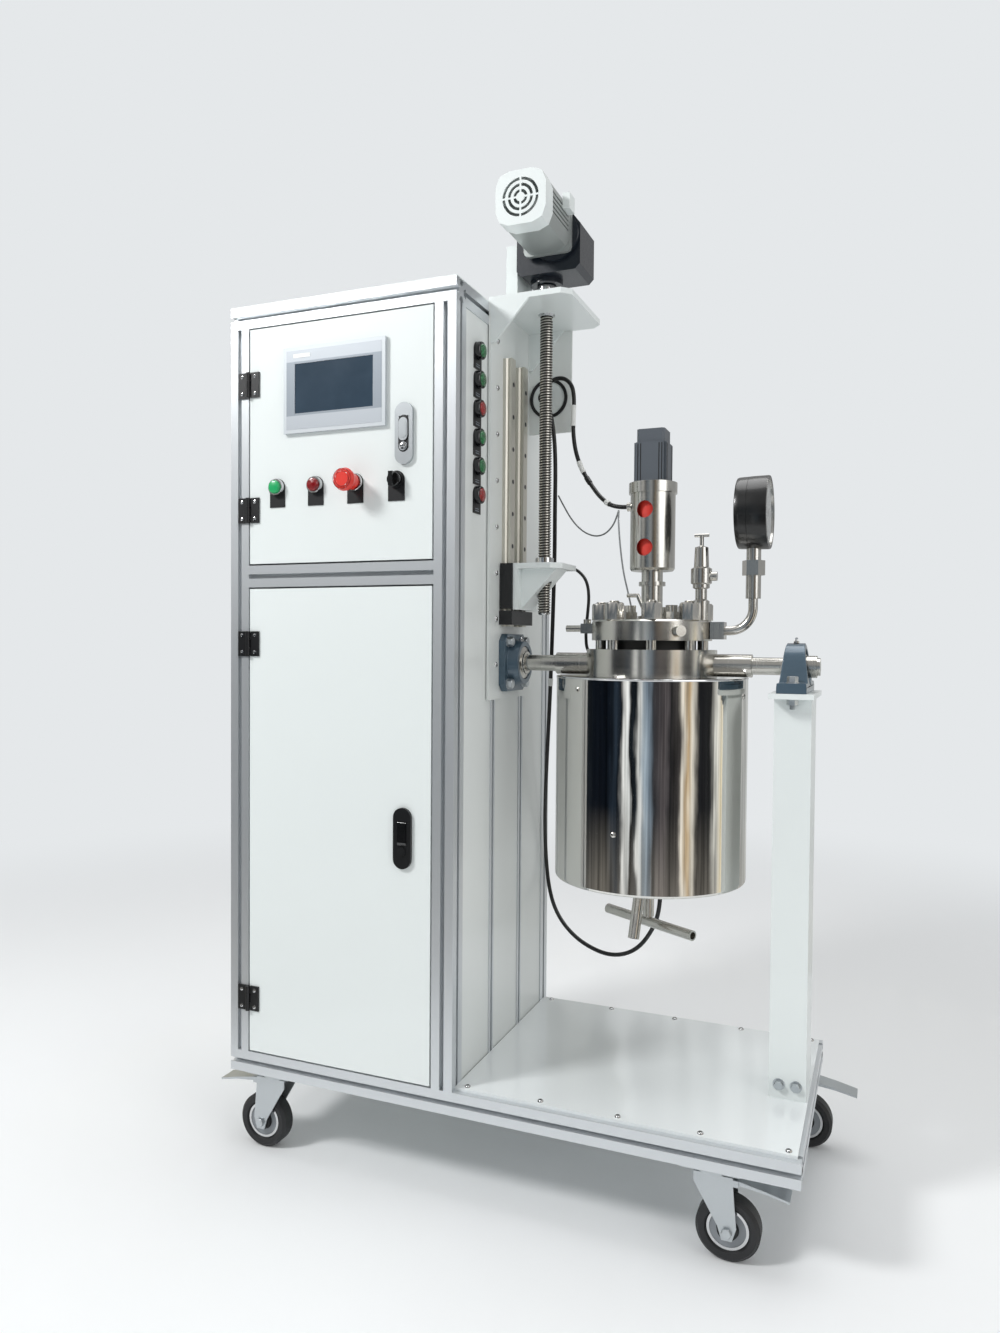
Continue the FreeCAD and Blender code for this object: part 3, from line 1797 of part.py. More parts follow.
def cable(label, points, radius):
    """A free cable along its route, as a plain tube; prints its length and its arcs."""
    wire, radii = path_wire(points)
    direction = Vector(*[float(b) - float(a) for a, b in zip(points[0], points[1])])
    start = Vector(*[float(number) for number in points[0]])
    circle = Part.Wire(Part.Circle(start, direction, float(radius)).toShape())
    tube = wire.makePipeShell([circle], True, False)
    thing = document.addObject("Part::Feature", "cable")
    thing.Shape = tube
    thing.Placement = Placement()
    node(label, thing)
    expected = math.pi * float(radius) ** 2 * wire.Length
    smallest = min(radii) / (2 * float(radius))
    print(
        f"{label}: length {wire.Length:.1f}, volume ratio {tube.Volume / expected:.4f}, "
        f"tightest arc {min(radii):.1f} or {smallest:.1f} diameters, radii "
        + " ".join(f"{number:.0f}" for number in radii)
    )


def make_gauge():
    """The pressure gauge on its siphon tube beside the lid."""
    tube = size.gauge_tube_radius
    level = ground + size.pot_top + size.lid_gap + size.lid_thick * 0.5
    x = vessel_x + size.gauge_reach
    y = middle
    radius = size.gauge_radius
    thick = size.gauge_thick
    centre = ground + size.gauge_level
    case = turned(
        [
            (0, 0),
            (radius * 0.86, 0),
            (radius * 0.93, thick * 0.12),
            (radius * 0.93, thick * 0.5),
            (radius, thick * 0.55),
            (radius, thick),
            (radius * 0.9, thick),
            (radius * 0.9, thick * 0.86),
            (0, thick * 0.86),
        ],
        (x - thick / 2, y, centre),
        "X",
    )
    glass = rod((x - thick / 2 + thick * 0.9, y, centre), radius * 0.9 - size.slide_gap, thick * 0.06, "X")
    foot = centre - radius * 0.93
    stem = rod((x, y, foot - tube * 3), tube * 1.55, tube * 3.4)
    union = hexagon((x, y, foot - tube * 6.2), tube * 4.2, tube * 3.2)
    socket_low = foot - tube * 6.2 - tube * 5
    socket = rod((x, y, socket_low), tube * 1.6, tube * 5.1)
    inner = vessel_x + size.lid_radius
    bend = x - inner - size.lid_gap * 1.4
    block_size = tube * 3.8
    connector = block(
        (inner, y - block_size / 2, level - block_size / 2),
        (size.lid_gap * 1.5, block_size, block_size),
    )
    rise = socket_low - level
    turn_radius = bend * 0.8
    start = Vector(float(inner + size.lid_gap * 1.4), float(y), float(level))
    corner_low = Vector(float(x - turn_radius), float(y), float(level))
    corner_high = Vector(float(x), float(y), float(level + turn_radius))
    middle_point = Vector(
        float(x) - float(turn_radius) * (1 - math.sin(math.radians(45))),
        float(y),
        float(level) + float(turn_radius) * (1 - math.cos(math.radians(45))),
    )
    end = Vector(float(x), float(y), float(level + rise + 1))
    wire = Part.Wire(
        [
            Part.LineSegment(start, corner_low).toShape(),
            Part.Arc(corner_low, middle_point, corner_high).toShape(),
            Part.LineSegment(corner_high, end).toShape(),
        ]
    )
    ring = Part.Wire(Part.Circle(start, Vector(1, 0, 0), float(tube)).toShape())
    siphon = document.addObject("Part::Feature", "siphon")
    siphon.Shape = wire.makePipeShell([ring], True, False)
    node("pressure_gauge", fuse(case, stem, union, socket, siphon, connector), glass)


def make_drain():
    """The drain valve under the vessel with its slanted outlet, and the tee handle."""
    z = ground + size.jacket_bottom
    level = ground + size.drain_level
    radius = size.drain_radius
    gap = size.slide_gap
    pot_low = ground + size.pot_bottom
    body_low = level + size.tee_radius + gap * 4
    barrel = rod((vessel_x, middle, z - radius * 2), radius, pot_low - z + radius * 2)
    flange = rod((vessel_x, middle, z - size.bracket_thick), radius * 2.2, size.bracket_thick - gap)
    waist = rod((vessel_x, middle, body_low), radius * 0.75, z - radius * 2 - body_low + 1)
    slant = Rotation(Vector(0, 1, 0), 2).multiply(Rotation(Vector(1, 0, 0), -22))
    slant = slant.multiply(Rotation(Vector(1, 0, 0), 180))
    mouth = (vessel_x - radius * 0.75, middle - radius * 1.3, z - size.bracket_thick / 2)
    outlet = rod(mouth, size.outlet_radius, size.outlet_length, rotation=slant)
    bore = rod(mouth, size.outlet_bore, size.outlet_length + 1, rotation=slant)
    stem_room = rod((vessel_x, middle, body_low - 1), radius * 0.4 + size.running_gap, radius * 3)
    throat = rod((vessel_x, middle, z - size.bracket_thick / 2), size.outlet_bore, pot_low - z + radius)
    node("drain_valve", cut(fuse(barrel, flange, waist, outlet), bore, stem_room, throat))
    tee = size.tee_radius
    length = size.tee_length
    turn = Rotation(Vector(0, 0, 1), -31).multiply(AXES["X"])
    along = math.radians(-31)
    at = (
        vessel_x - length * 0.5 * math.cos(along),
        middle - length * 0.5 * math.sin(along),
        level,
    )
    bar = rod(at, tee, length, rotation=turn)
    hollow = rod(
        (
            vessel_x + length * (0.5 - 0.1) * math.cos(along),
            middle + length * (0.5 - 0.1) * math.sin(along),
            level,
        ),
        tee * 0.7,
        length * 0.11,
        rotation=turn,
    )
    stem = rod((vessel_x, middle, level), radius * 0.4, radius * 1.4 + tee)
    node("drain_handle", fuse(cut(bar, hollow), stem))


CASTERS = (
    ("front_left", -1),
    ("front_right", 1),
    ("rear_left", -1),
    ("rear_right", 1),
)


def caster_swivel(name):
    """A caster's swivel axis, in the floor's plane."""
    end_inset = {
        "front_left": size.caster_front_left,
        "front_right": size.caster_front_right,
        "rear_left": size.caster_rear,
        "rear_right": size.caster_rear,
    }[name]
    x = left + end_inset if name.endswith("left") else -left - end_inset
    y = front + size.caster_side if name.startswith("front") else back - size.caster_side
    return x, y


def make_casters():
    """Four braked casters: plates, forks, wheels and foot pedals."""
    plates = []
    plate_thick = size.caster_plate_thick
    race = size.race_height
    gap = size.slide_gap
    axle_level = size.wheel_radius
    for name, way in CASTERS:
        x, y = caster_swivel(name)
        plate = block(
            (x - size.caster_plate_length / 2, y - size.caster_plate_width / 2, ground - plate_thick),
            (size.caster_plate_length, size.caster_plate_width, plate_thick),
        )
        ring = rod((x, y, ground - plate_thick - race), size.race_radius, race)
        plates.append(fuse(plate, ring))
        crown = ground - plate_thick - race - gap
        half = size.wheel_width / 2 + size.fork_gap
        wall = size.fork_wall
        top = crown - wall
        trail = size.caster_trail * way
        boss = size.hub_radius
        cheek_outline = [
            (-size.race_radius * way, top),
            (size.race_radius * 1.25 * way, top),
            (size.race_radius * 1.25 * way, top - wall * 4),
            (trail + boss * 0.9 * way, axle_level + boss * 0.5),
            (trail + boss * 0.5 * way, axle_level - boss * 0.8),
            (trail - boss * 0.5 * way, axle_level - boss * 0.8),
            (trail - boss * 0.9 * way, axle_level + boss * 0.5),
            (-size.race_radius * way, top - wall * 4),
        ]
        cheeks = [
            prism(cheek_outline, (x, y - half - wall, 0), wall, "Y"),
            prism(cheek_outline, (x, y + half, 0), wall, "Y"),
        ]
        width = half * 2 + wall * 2
        crown_start = x - size.race_radius * (1 if way > 0 else 1.25)
        bridge = block(
            (crown_start, y - width / 2, top), (size.race_radius * 2.25, width, wall)
        )
        axle = rod(
            (x + trail, y - half - wall * 2.4, axle_level),
            size.axle_radius,
            half * 2 + wall * 4.8,
            "Y",
        )
        inner = size.race_radius * 1.25 + gap * 2
        pin = size.pedal_pin
        pin_x = x + (inner + wall) * way
        pin_z = top - wall * 2
        ear_start = size.race_radius * 1.2
        ear_end = inner + wall + pin * 2
        ear_x = x + (ear_start if way > 0 else -ear_end)
        ears = [
            block((ear_x, ear_y, pin_z - pin * 2), (ear_end - ear_start, wall, wall * 2 + pin * 2))
            for ear_y in (y - half - wall, y + half)
        ]
        pin_room = rod((pin_x, y - width, pin_z), pin + size.running_gap, width * 2, "Y")
        node(f"caster_fork_{name}", cut(fuse(bridge, *cheeks, axle, *ears), pin_room))
        radius = size.wheel_radius
        wide = size.wheel_width
        bore = size.axle_radius + size.running_gap
        hub = size.hub_radius
        dish = wide * 0.2
        soft = wide * 0.16
        wheel_profile = [
            (bore, 0),
            (hub, 0),
            (hub, dish),
            (radius * 0.66, dish),
            (radius * 0.72, dish * 0.2),
            (radius - soft, 0),
            (radius, soft),
            (radius, wide - soft),
            (radius - soft, wide),
            (radius * 0.72, wide - dish * 0.2),
            (radius * 0.66, wide - dish),
            (hub, wide - dish),
            (hub, wide),
            (bore, wide),
        ]
        wheel = turned(wheel_profile, (x + trail, y - wide / 2, axle_level), "Y")
        node(f"caster_wheel_{name}", wheel)
        reach = size.pedal_reach
        high = top - wall * 1.5
        pedal_outline = [
            (inner * way, high),
            ((inner + wall * 2) * way, high + wall),
            (reach * 0.7 * way, high - wall * 1.5),
            (reach * way, high - wall * 4.2),
            (reach * way, high - wall * 5.2),
            (reach * 0.68 * way, high - wall * 2.7),
            (inner * way, high - wall),
        ]
        wide = half * 2 - gap * 2
        pedal = prism(pedal_outline, (x, y - wide / 2, 0), wide, "Y")
        pin_rod = rod((pin_x, y - width / 2, pin_z), pin, width, "Y")
        node(f"caster_pedal_{name}", fuse(pedal, pin_rod))
    node("caster_plates", *plates)


def cable_exit():
    """The middle of the cable bushing's opening, a little inside its mouth."""
    x = lift_face + size.cable_place
    z = ground + size.tab_hole_level + size.grommet_hole * 0.3
    return x, lift_back, z


# The cables' routes, as offsets from the cable bushing's opening
DRIVE_ROUTE = (
    (5, 0, 1),
    (10, -26, 9),
    (27, -36, 23),
    (52, -38, 25),
    (70, -38, 10),
    (75, -38, -17),
    (73, -38, -53),
    (74, -39, -91),
    (81, -41, -127),
    (96, -45, -161),
    (118, -58, -191),
    (141, -77, -217),
    (173, -102, -240),
)
HEATER_ROUTE = (
    (-5, 0, -4),
    (7, -27, -11),
    (23, -39, -27),
    (31, -40, -57),
    (35, -36, -95),
    (36, -32, -150),
    (35, -31, -225),
    (33, -24, -315),
    (26, -10, -415),
    (17, 8, -515),
    (7, 28, -610),
    (-4, 48, -700),
    (-15, 70, -785),
    (-24, 92, -865),
    (-27, 108, -940),
    (-20, 108, -1005),
    (2, 86, -1047),
    (38, 60, -1077),
    (85, 35, -1097),
    (146, 9, -1104),
    (202, -16, -1079),
    (241, -38, -1025),
)
SHORT_ROUTE = (
    (39, -20, -346),
    (61, -22, -339),
    (83, -28, -347),
    (103, -37, -367),
    (111, -46, -397),
    (110, -52, -433),
    (106, -51, -468),
)
PROBE_ROUTE = (
    (42, -31, -201),
    (58, -33, -230),
    (77, -38, -257),
    (101, -48, -277),
    (127, -62, -287),
    (151, -78, -285),
    (171, -94, -271),
    (183, -108, -251),
    (189, -124, -247),
    (192, -138, -265),
    (195, -142, -295),
    (199, -143, -330),
    (204, -142, -365),
    (211, -139, -395),
)


def route(offsets, *ends):
    """A cable's points in the machine, from its offsets and its points at the far end."""
    start = cable_exit()
    points = [tuple(float(a) + b for a, b in zip(start, offset)) for offset in offsets]
    return points + [tuple(float(number) for number in end) for end in ends]


def make_cables():
    """The four cables that hang free between the cabinet and the vessel."""
    gap = size.slide_gap
    housing = lid_top() + size.neck_height
    end = (
        vessel_x - size.housing_radius - size.drive_gland_length - gap,
        middle,
        housing + drive_gland_rise(),
    )
    cable("drive_cable", route(DRIVE_ROUTE, end), size.cable_radius)
    gland_x, gland_y = heater_gland()
    low = ground + size.jacket_bottom - size.gland_length - gap
    cable(
        "heater_cable",
        route(HEATER_ROUTE, (gland_x, gland_y, low - 52), (gland_x, gland_y, low)),
        size.cable_radius,
    )
    lead = math.radians(160)
    reach = size.pot_radius + size.gland_length / 2 + gap + size.short_cable_radius / 2
    level = trunnion + size.drive_gland_length
    before = reach + 20.5
    cable(
        "short_cable",
        route(
            SHORT_ROUTE,
            (vessel_x + before * math.cos(lead), middle + before * math.sin(lead), level + 12),
            (vessel_x + reach * math.cos(lead), middle + reach * math.sin(lead), level),
        ),
        size.short_cable_radius,
    )
    port = math.radians(230)
    off = size.lid_radius * 0.43
    cable(
        "probe_lead",
        route(
            PROBE_ROUTE,
            (
                vessel_x + off * math.cos(port),
                middle + off * math.sin(port),
                lid_top() - 1 + size.lid_nut_height * 0.9 + gap,
            ),
        ),
        size.probe_radius,
    )


def write_parts():
    """Checks every feature and writes each node's solids."""
    document.recompute()
    for thing in document.Objects:
        bad = [word for word in thing.State if word in ("Invalid", "Error")]
        if bad:
            raise RuntimeError(f"{thing.Label} is {bad}")
    os.makedirs("parts", exist_ok=True)
    for label, thing in NODES.items():
        shape = thing.Shape
        if shape.isNull() or not shape.isValid() or not shape.Solids:
            raise RuntimeError(f"{label} has no valid solid")
        shape.exportStep(os.path.join("parts", f"{label}.step"))
    print(f"{len(NODES)} nodes written")


make_frame()
make_cabinet()
make_doors()
make_screen()
make_front_controls()
make_side_controls()
make_lift_plate()
make_top_bracket()
make_guide_rails()
make_lift_carriage()
make_lead_screw()
make_gearmotor()
make_bearings()
make_column()
make_fasteners()
make_trunnions()
make_vessel()
make_drive()
make_safety_valve()
make_gauge()
make_drain()
make_casters()
make_cables()
write_parts()
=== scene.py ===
"""The looks of a laboratory reactor: finishes, small fittings, cables, light and camera.

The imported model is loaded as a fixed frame. Every piece made here is in metres, in the frame's own
axes: X to the right along the front, Y to the back and Z up, with the origin on the floor.
"""

from __future__ import annotations

import json
import logging
import math
from dataclasses import dataclass, field
from enum import Enum
from functools import partial
from typing import Callable, Iterable, Sequence

import bmesh
import bpy
import numpy as np
from mathutils import Matrix, Vector

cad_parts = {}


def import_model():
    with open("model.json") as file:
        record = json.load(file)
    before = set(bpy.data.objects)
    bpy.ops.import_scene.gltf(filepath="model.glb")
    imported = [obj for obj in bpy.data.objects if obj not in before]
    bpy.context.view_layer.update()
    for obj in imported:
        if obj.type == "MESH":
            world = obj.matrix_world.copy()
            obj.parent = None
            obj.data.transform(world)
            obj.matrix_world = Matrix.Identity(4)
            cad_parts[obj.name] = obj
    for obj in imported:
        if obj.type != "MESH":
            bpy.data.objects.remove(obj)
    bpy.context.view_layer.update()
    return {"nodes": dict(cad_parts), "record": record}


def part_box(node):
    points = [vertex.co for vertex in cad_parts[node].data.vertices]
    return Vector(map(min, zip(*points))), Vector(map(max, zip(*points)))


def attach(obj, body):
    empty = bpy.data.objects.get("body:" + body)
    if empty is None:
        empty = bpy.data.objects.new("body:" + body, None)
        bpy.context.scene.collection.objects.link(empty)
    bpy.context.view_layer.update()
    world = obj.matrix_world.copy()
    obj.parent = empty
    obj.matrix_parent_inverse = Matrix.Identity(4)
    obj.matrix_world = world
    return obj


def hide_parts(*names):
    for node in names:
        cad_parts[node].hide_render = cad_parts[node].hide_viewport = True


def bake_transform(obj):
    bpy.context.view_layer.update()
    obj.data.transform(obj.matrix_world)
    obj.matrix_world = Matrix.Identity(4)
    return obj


LOG = logging.getLogger("reactor")
Point = Sequence[float]
Fits = Callable[[Vector, Vector], bool]

# The frame's main lines, in metres
FRONT = -0.217
BACK = 0.263
MIDDLE = 0.023
GROUND = 0.150
SIDE = -0.055
LIFT_FACE = -0.051
SCREW_X = 0.019
VESSEL_X = 0.225
TRUNNION = 0.920
LID_TOP = 0.999
COLUMN_X = 0.446
END_X = 0.515
CONTROL_Z = 1.236
CONTROL_X = (-0.411, -0.3295, -0.248, -0.1665)
SIDE_CONTROL_Y = -0.125
SIDE_CONTROL_Z = tuple(1.470 - 0.0505 * index for index in range(6))
CABLE_HOLE = (-0.021, 0.125, 1.4455)
FRAME_BODY = "machine_frame"
VESSEL_BODY = "vessel"

# Turns that take a shape made along Z to another axis
AXIS_TURN = {
    "X": Matrix.Rotation(math.radians(90), 4, "Y"),
    "Y": Matrix.Rotation(math.radians(-90), 4, "X"),
    "Z": Matrix.Identity(4),
}
TO_FRONT = Matrix.Rotation(math.radians(90), 4, "X")
# The two axes across each axis, and the axis itself
AXES = {"X": (1, 2, 0), "Y": (0, 2, 1), "Z": (0, 1, 2)}
WALL = "#E5E8EA"
SHARP = 32.0
TINY = 1e-7


class Grain(Enum):
    """The kind of fine surface that a finish has."""

    BRUSHED = "brushed"
    TURNED = "turned"
    CAST = "cast"
    PEEL = "peel"
    RUBBER = "rubber"
    LENS = "lens"


# How much fine detail the noise of a grain holds
DETAIL = {Grain.CAST: 6.0, Grain.PEEL: 2.0, Grain.RUBBER: 5.0}


@dataclass(frozen=True)
class Finish:
    """One real surface.

    Args:
        name: The material's name.
        slot: The record's material slot that it stands for. Nothing reads it.
        colour: Its colour as a hex sRGB string.
        metallic: How much it is a metal, from 0 to 1.
        roughness: Its middle roughness.
        spread: How far its roughness strays from the middle.
        coat: How much clear gloss lies on it.
        grain: The kind of fine surface.
        size: The grain's size in metres.
        depth: The grain's depth in metres.
        along: The axis that brushed lines follow, or that a turned piece turns about.
        centre: A turned piece's axis, as a point.
        shade: How far its colour strays, as a share.
        glow: Light that it gives off by itself.
        clear: How much light passes through it.
    """

    name: str
    slot: str
    colour: str
    metallic: float = 0.0
    roughness: float = 0.4
    spread: float = 0.06
    coat: float = 0.0
    grain: Grain = Grain.PEEL
    size: float = 0.002
    depth: float = 0.00004
    along: str = "Z"
    centre: tuple[float, float, float] = (0.0, 0.0, 0.0)
    shade: float = 0.05
    glow: float = 0.0
    clear: float = 0.0


def linear(hexa: str) -> tuple[float, float, float, float]:
    """Turns a hex sRGB colour, such as "#C9CCCD", into linear values with a full alpha."""
    values = []
    for start in (1, 3, 5):
        part = int(hexa[start : start + 2], 16) / 255
        values.append(part / 12.92 if part <= 0.04045 else ((part + 0.055) / 1.055) ** 2.4)
    return (values[0], values[1], values[2], 1.0)


def tinted(colour: Sequence[float], share: float) -> tuple[float, float, float, float]:
    """A linear colour made lighter by a share, or darker where the share is negative."""
    return tuple(min(1.0, part * (1.0 + share)) for part in colour[:3]) + (1.0,)


def add_node(tree: bpy.types.NodeTree, kind: str, inputs: dict | None = None, **settings):
    """Adds a node to a tree, with its settings, values and links.

    Args:
        tree: The node tree.
        kind: The node's type without its "ShaderNode".
        inputs: Values or output sockets by the input's name or number.
        settings: The node's own properties.

    Returns:
        The new node.
    """
    node = tree.nodes.new(f"ShaderNode{kind}")
    for key, value in settings.items():
        setattr(node, key, value)
    for key, value in (inputs or {}).items():
        socket = node.inputs[key]
        if isinstance(value, bpy.types.NodeSocket):
            tree.links.new(value, socket)
        else:
            socket.default_value = value
    return node


def ramp(tree: bpy.types.NodeTree, share, stops: Sequence[tuple[float, str]]):
    """Colours that follow each other as a share runs from 0 to 1.

    Args:
        tree: The node tree.
        share: The output that holds the share.
        stops: Places and hex colours.

    Returns:
        The output that holds the colour.
    """
    node = add_node(tree, "ValToRGB", {0: share})
    elements = node.color_ramp.elements
    while len(elements) < len(stops):
        elements.new(0.5)
    for element, (at, colour) in zip(elements, stops):
        element.position = at
        element.color = linear(colour)
    return node.outputs[0]


@dataclass
class Finishes:
    """Builds each finish once and hands it out.

    Args:
        built: The materials that exist so far.
    """

    built: dict[str, bpy.types.Material] = field(default_factory=dict)

    def get(self, finish: Finish) -> bpy.types.Material:
        """The material of a finish, made on first use."""
        if finish.name not in self.built:
            self.built[finish.name] = self.build(finish)
        return self.built[finish.name]

    def pattern(self, tree: bpy.types.NodeTree, finish: Finish) -> bpy.types.NodeSocket:
        """The grain as a number over the surface.

        The grain's real size sets its scale. Brushed lines are 90 times as long as they are wide,
        and a turned surface's pattern depends on the distance from its axis and the place along it.

        Args:
            tree: The material's tree.
            finish: The surface.

        Returns:
            The output that holds the grain.
        """
        add = partial(add_node, tree)
        place = add("TexCoord").outputs["Object"]
        fine = 1.0 / finish.size
        scale = (fine, fine, fine)
        if finish.grain is Grain.BRUSHED:
            scale = tuple(fine / 90 if axis == finish.along else fine for axis in "XYZ")
        if finish.grain is Grain.TURNED:
            away = add("VectorMath", {0: place, 1: finish.centre}, operation="SUBTRACT").outputs[0]
            flat = tuple(0.0 if axis == finish.along else 1.0 for axis in "XYZ")
            radial = add("VectorMath", {0: away, 1: flat}, operation="MULTIPLY").outputs[0]
            radius = add("VectorMath", {0: radial}, operation="LENGTH").outputs["Value"]
            split = add("SeparateXYZ", {0: away})
            place = add("CombineXYZ", {0: radius, 1: split.outputs[finish.along]}).outputs[0]
        mapped = add("Mapping", {"Vector": place, "Scale": scale}).outputs[0]
        # For a lens the same facet pattern also swings the colour, which paints light and shade on
        # the facets.
        if finish.grain is Grain.LENS:
            return add("TexVoronoi", {"Vector": mapped, "Scale": 1.0}).outputs["Distance"]
        detail = DETAIL.get(finish.grain, 4.0)
        return add("TexNoise", {"Vector": mapped, "Scale": 1.0, "Detail": detail}).outputs["Fac"]

    def build(self, finish: Finish) -> bpy.types.Material:
        """Makes a finish's material.

        Args:
            finish: The surface.

        Returns:
            The material.
        """
        material = bpy.data.materials.new(finish.name)
        material.use_nodes = True
        tree = material.node_tree
        tree.nodes.clear()
        add = partial(add_node, tree)
        grain = self.pattern(tree, finish)
        place = add("TexCoord").outputs["Object"]
        broad = add("TexNoise", {"Vector": place, "Scale": 7.0, "Detail": 3.0}).outputs["Fac"]
        base = linear(finish.colour)
        dark, pale = tinted(base, -finish.shade), tinted(base, finish.shade)
        mixed = add("Mix", {0: broad, 6: dark, 7: pale}, data_type="RGBA").outputs[2]
        limits = {"From Min": 0.3, "From Max": 0.7}
        limits["To Min"] = finish.roughness - finish.spread
        limits["To Max"] = finish.roughness + finish.spread
        rough = add("MapRange", {"Value": grain, **limits}).outputs[0]
        tint = add("Mix", {0: grain, 6: dark, 7: mixed}, data_type="RGBA").outputs[2]
        relief = {"Height": grain, "Distance": finish.depth, "Strength": 1.0}
        shader = add(
            "BsdfPrincipled",
            {
                "Base Color": tint,
                "Metallic": finish.metallic,
                "Roughness": rough,
                "Normal": add("Bump", relief).outputs[0],
                "Coat Weight": finish.coat,
                "Coat Roughness": 0.08,
                "Transmission Weight": finish.clear,
            },
        )
        if finish.glow:
            shader.inputs["Emission Color"].default_value = base
            shader.inputs["Emission Strength"].default_value = finish.glow
        add("OutputMaterial", {"Surface": shader.outputs[0]})
        return material


VESSEL_AXIS = (VESSEL_X, MIDDLE, 0.0)
SHAFT_AXIS = (0.0, MIDDLE, TRUNNION)

# Silver-grey satin extrusion: soft light along each slot, no grain that shows.
ANODISED = Finish(
    "anodised_aluminium", "aluminium_profile", "#D6DADD", 0.65, 0.36, 0.05,
    size=0.0012, depth=0.00001, shade=0.02,
)
# Cold white powder coat with a faint orange peel of 1.6 mm.
WHITE_PAINT = Finish(
    "white_powder_coat", "white_paint", "#E6ECEB", 0.0, 0.33, 0.04, coat=0.3,
    size=0.0016, depth=0.000018, shade=0.012,
)
# The deck, glossy enough to hold soft reflections of the column.
WHITE_SHEET = Finish(
    "white_glossy_sheet", "white_paint", "#E9EEEF", 0.0, 0.12, 0.02, coat=0.8,
    size=0.012, depth=0.00001, shade=0.01,
)
# Pale side strips and lift sheet, a tone below the doors, as painted shade on the sheets that face
# right, away from the key lamp.
GREY_PANEL = Finish(
    "pale_grey_panel", "white_paint", "#E4E8E6", 0.0, 0.3, 0.015, coat=0.25,
    size=0.004, depth=0.000003, shade=0.004,
)
# The jacket: a mirror whose upright bands waver a little from rolling.
MIRROR_STEEL = Finish(
    "polished_stainless", "polished_steel", "#D9D8D4", 1.0, 0.055, 0.03,
    grain=Grain.BRUSHED, size=0.02, depth=0.00016, shade=0.02,
)
# Pot, lid and housing, with fine rings from the lathe about the vessel.
TURNED_STEEL = Finish(
    "turned_stainless", "stainless_steel", "#D0CEC8", 1.0, 0.2, 0.05,
    grain=Grain.TURNED, size=0.0009, depth=0.000005, centre=VESSEL_AXIS, shade=0.03,
)
# Ground shafts and bearing inserts, ringed about the trunnions.
SHAFT_STEEL = Finish(
    "ground_shaft_steel", "stainless_steel", "#C4C2BC", 1.0, 0.22, 0.07,
    grain=Grain.TURNED, size=0.0008, depth=0.00001, along="X", centre=SHAFT_AXIS, shade=0.05,
)
# Nuts, valves and pipe fittings, drawn finely along their height.
SATIN_STEEL = Finish(
    "satin_stainless", "stainless_steel", "#CFCDC8", 1.0, 0.2, 0.05,
    grain=Grain.BRUSHED, size=0.0012, depth=0.000006, shade=0.03,
)
# Warm pale rails, ground along their length.
RAIL_STEEL = Finish(
    "ground_rail_steel", "stainless_steel", "#D6D3C8", 0.7, 0.34, 0.06,
    grain=Grain.BRUSHED, size=0.0008, depth=0.00001, shade=0.04,
)
# Bright crests of the rolled thread.
SCREW_STEEL = Finish(
    "rolled_thread_steel", "zinc_steel", "#C9C6BE", 1.0, 0.31, 0.03,
    grain=Grain.CAST, size=0.002, depth=0.00002, shade=0.08,
)
# Painted shade: the thread's roots are coloured dark grey to stand for the shadow between the
# crests.
SHADED_THREAD_ROOT = Finish(
    "greased_thread_root", "zinc_steel", "#4E4B46", 0.6, 0.42, 0.1,
    grain=Grain.CAST, size=0.002, depth=0.00003, shade=0.2,
)
# The upper latch: an even satin grey.
DIE_CAST = Finish(
    "satin_plated_die_cast", "zinc_steel", "#C2C7CA", 0.9, 0.32, 0.02,
    size=0.003, depth=0.000004, shade=0.01,
)
# Bright plated screws, collars and rings.
CHROME = Finish(
    "bright_plated_steel", "zinc_steel", "#D3D4D5", 1.0, 0.12, 0.05,
    grain=Grain.CAST, size=0.004, depth=0.00001, shade=0.03,
)
# Casters and bolts, a soft bluish grey.
ZINC = Finish(
    "zinc_plated_steel", "zinc_steel", "#C3C8CB", 0.9, 0.33, 0.04,
    grain=Grain.CAST, size=0.004, depth=0.00001, shade=0.05,
)
# Enamelled cast iron, with the sand mould's 3.5 mm grain under the paint.
BLUE_CAST = Finish(
    "blue_grey_cast_iron", "cast_blue_grey", "#4A5F6E", 0.3, 0.34, 0.05, coat=0.6,
    grain=Grain.CAST, size=0.0035, depth=0.0001, shade=0.06,
)
# Slate paint over a rough casting, almost black in the photograph.
GEARBOX_PAINT = Finish(
    "slate_gearbox_paint", "gearbox_paint", "#0F1822", 0.0, 0.36, 0.06, coat=0.25,
    grain=Grain.CAST, size=0.003, depth=0.00015, shade=0.12,
)
# Light grey paint over the motor's casting.
MOTOR_GREY = Finish(
    "light_grey_cast_motor", "white_paint", "#A3A8A6", 0.45, 0.36, 0.05,
    grain=Grain.CAST, size=0.003, depth=0.00012, shade=0.06,
)
# Charcoal servo motor, dry and slightly grainy.
MOTOR_BLACK = Finish(
    "charcoal_motor_paint", "motor_black", "#5A6067", 0.2, 0.4, 0.07,
    grain=Grain.CAST, size=0.0012, depth=0.00003, shade=0.08,
)
# Bezels, hinges and blocks with a fine moulded skin.
BLACK_PLASTIC = Finish(
    "black_moulded_plastic", "black_plastic", "#17181A", 0.0, 0.38, 0.08,
    size=0.0009, depth=0.00003, shade=0.15,
)
# Smooth black knobs and handles.
BLACK_GLOSS = Finish(
    "black_glossy_enamel", "black_plastic", "#101113", 0.0, 0.2, 0.04, coat=0.5,
    size=0.006, depth=0.00001, shade=0.1,
)
# The casters' hubs.
GREY_PLASTIC = Finish(
    "grey_moulded_plastic", "black_plastic", "#8E9398", 0.0, 0.45, 0.07,
    size=0.001, depth=0.00003, shade=0.06,
)
# The operator panel's pale silver case.
PANEL_CASE = Finish(
    "silver_panel_case", "black_plastic", "#C3C9CD", 0.2, 0.4, 0.04,
    size=0.001, depth=0.00001, shade=0.02,
)
# The gauge's black enamelled case.
GAUGE_BLACK = Finish(
    "black_gauge_enamel", "black_plastic", "#0B0C0D", 0.0, 0.33, 0.03, coat=0.3,
    size=0.003, depth=0.000004, shade=0.05,
)
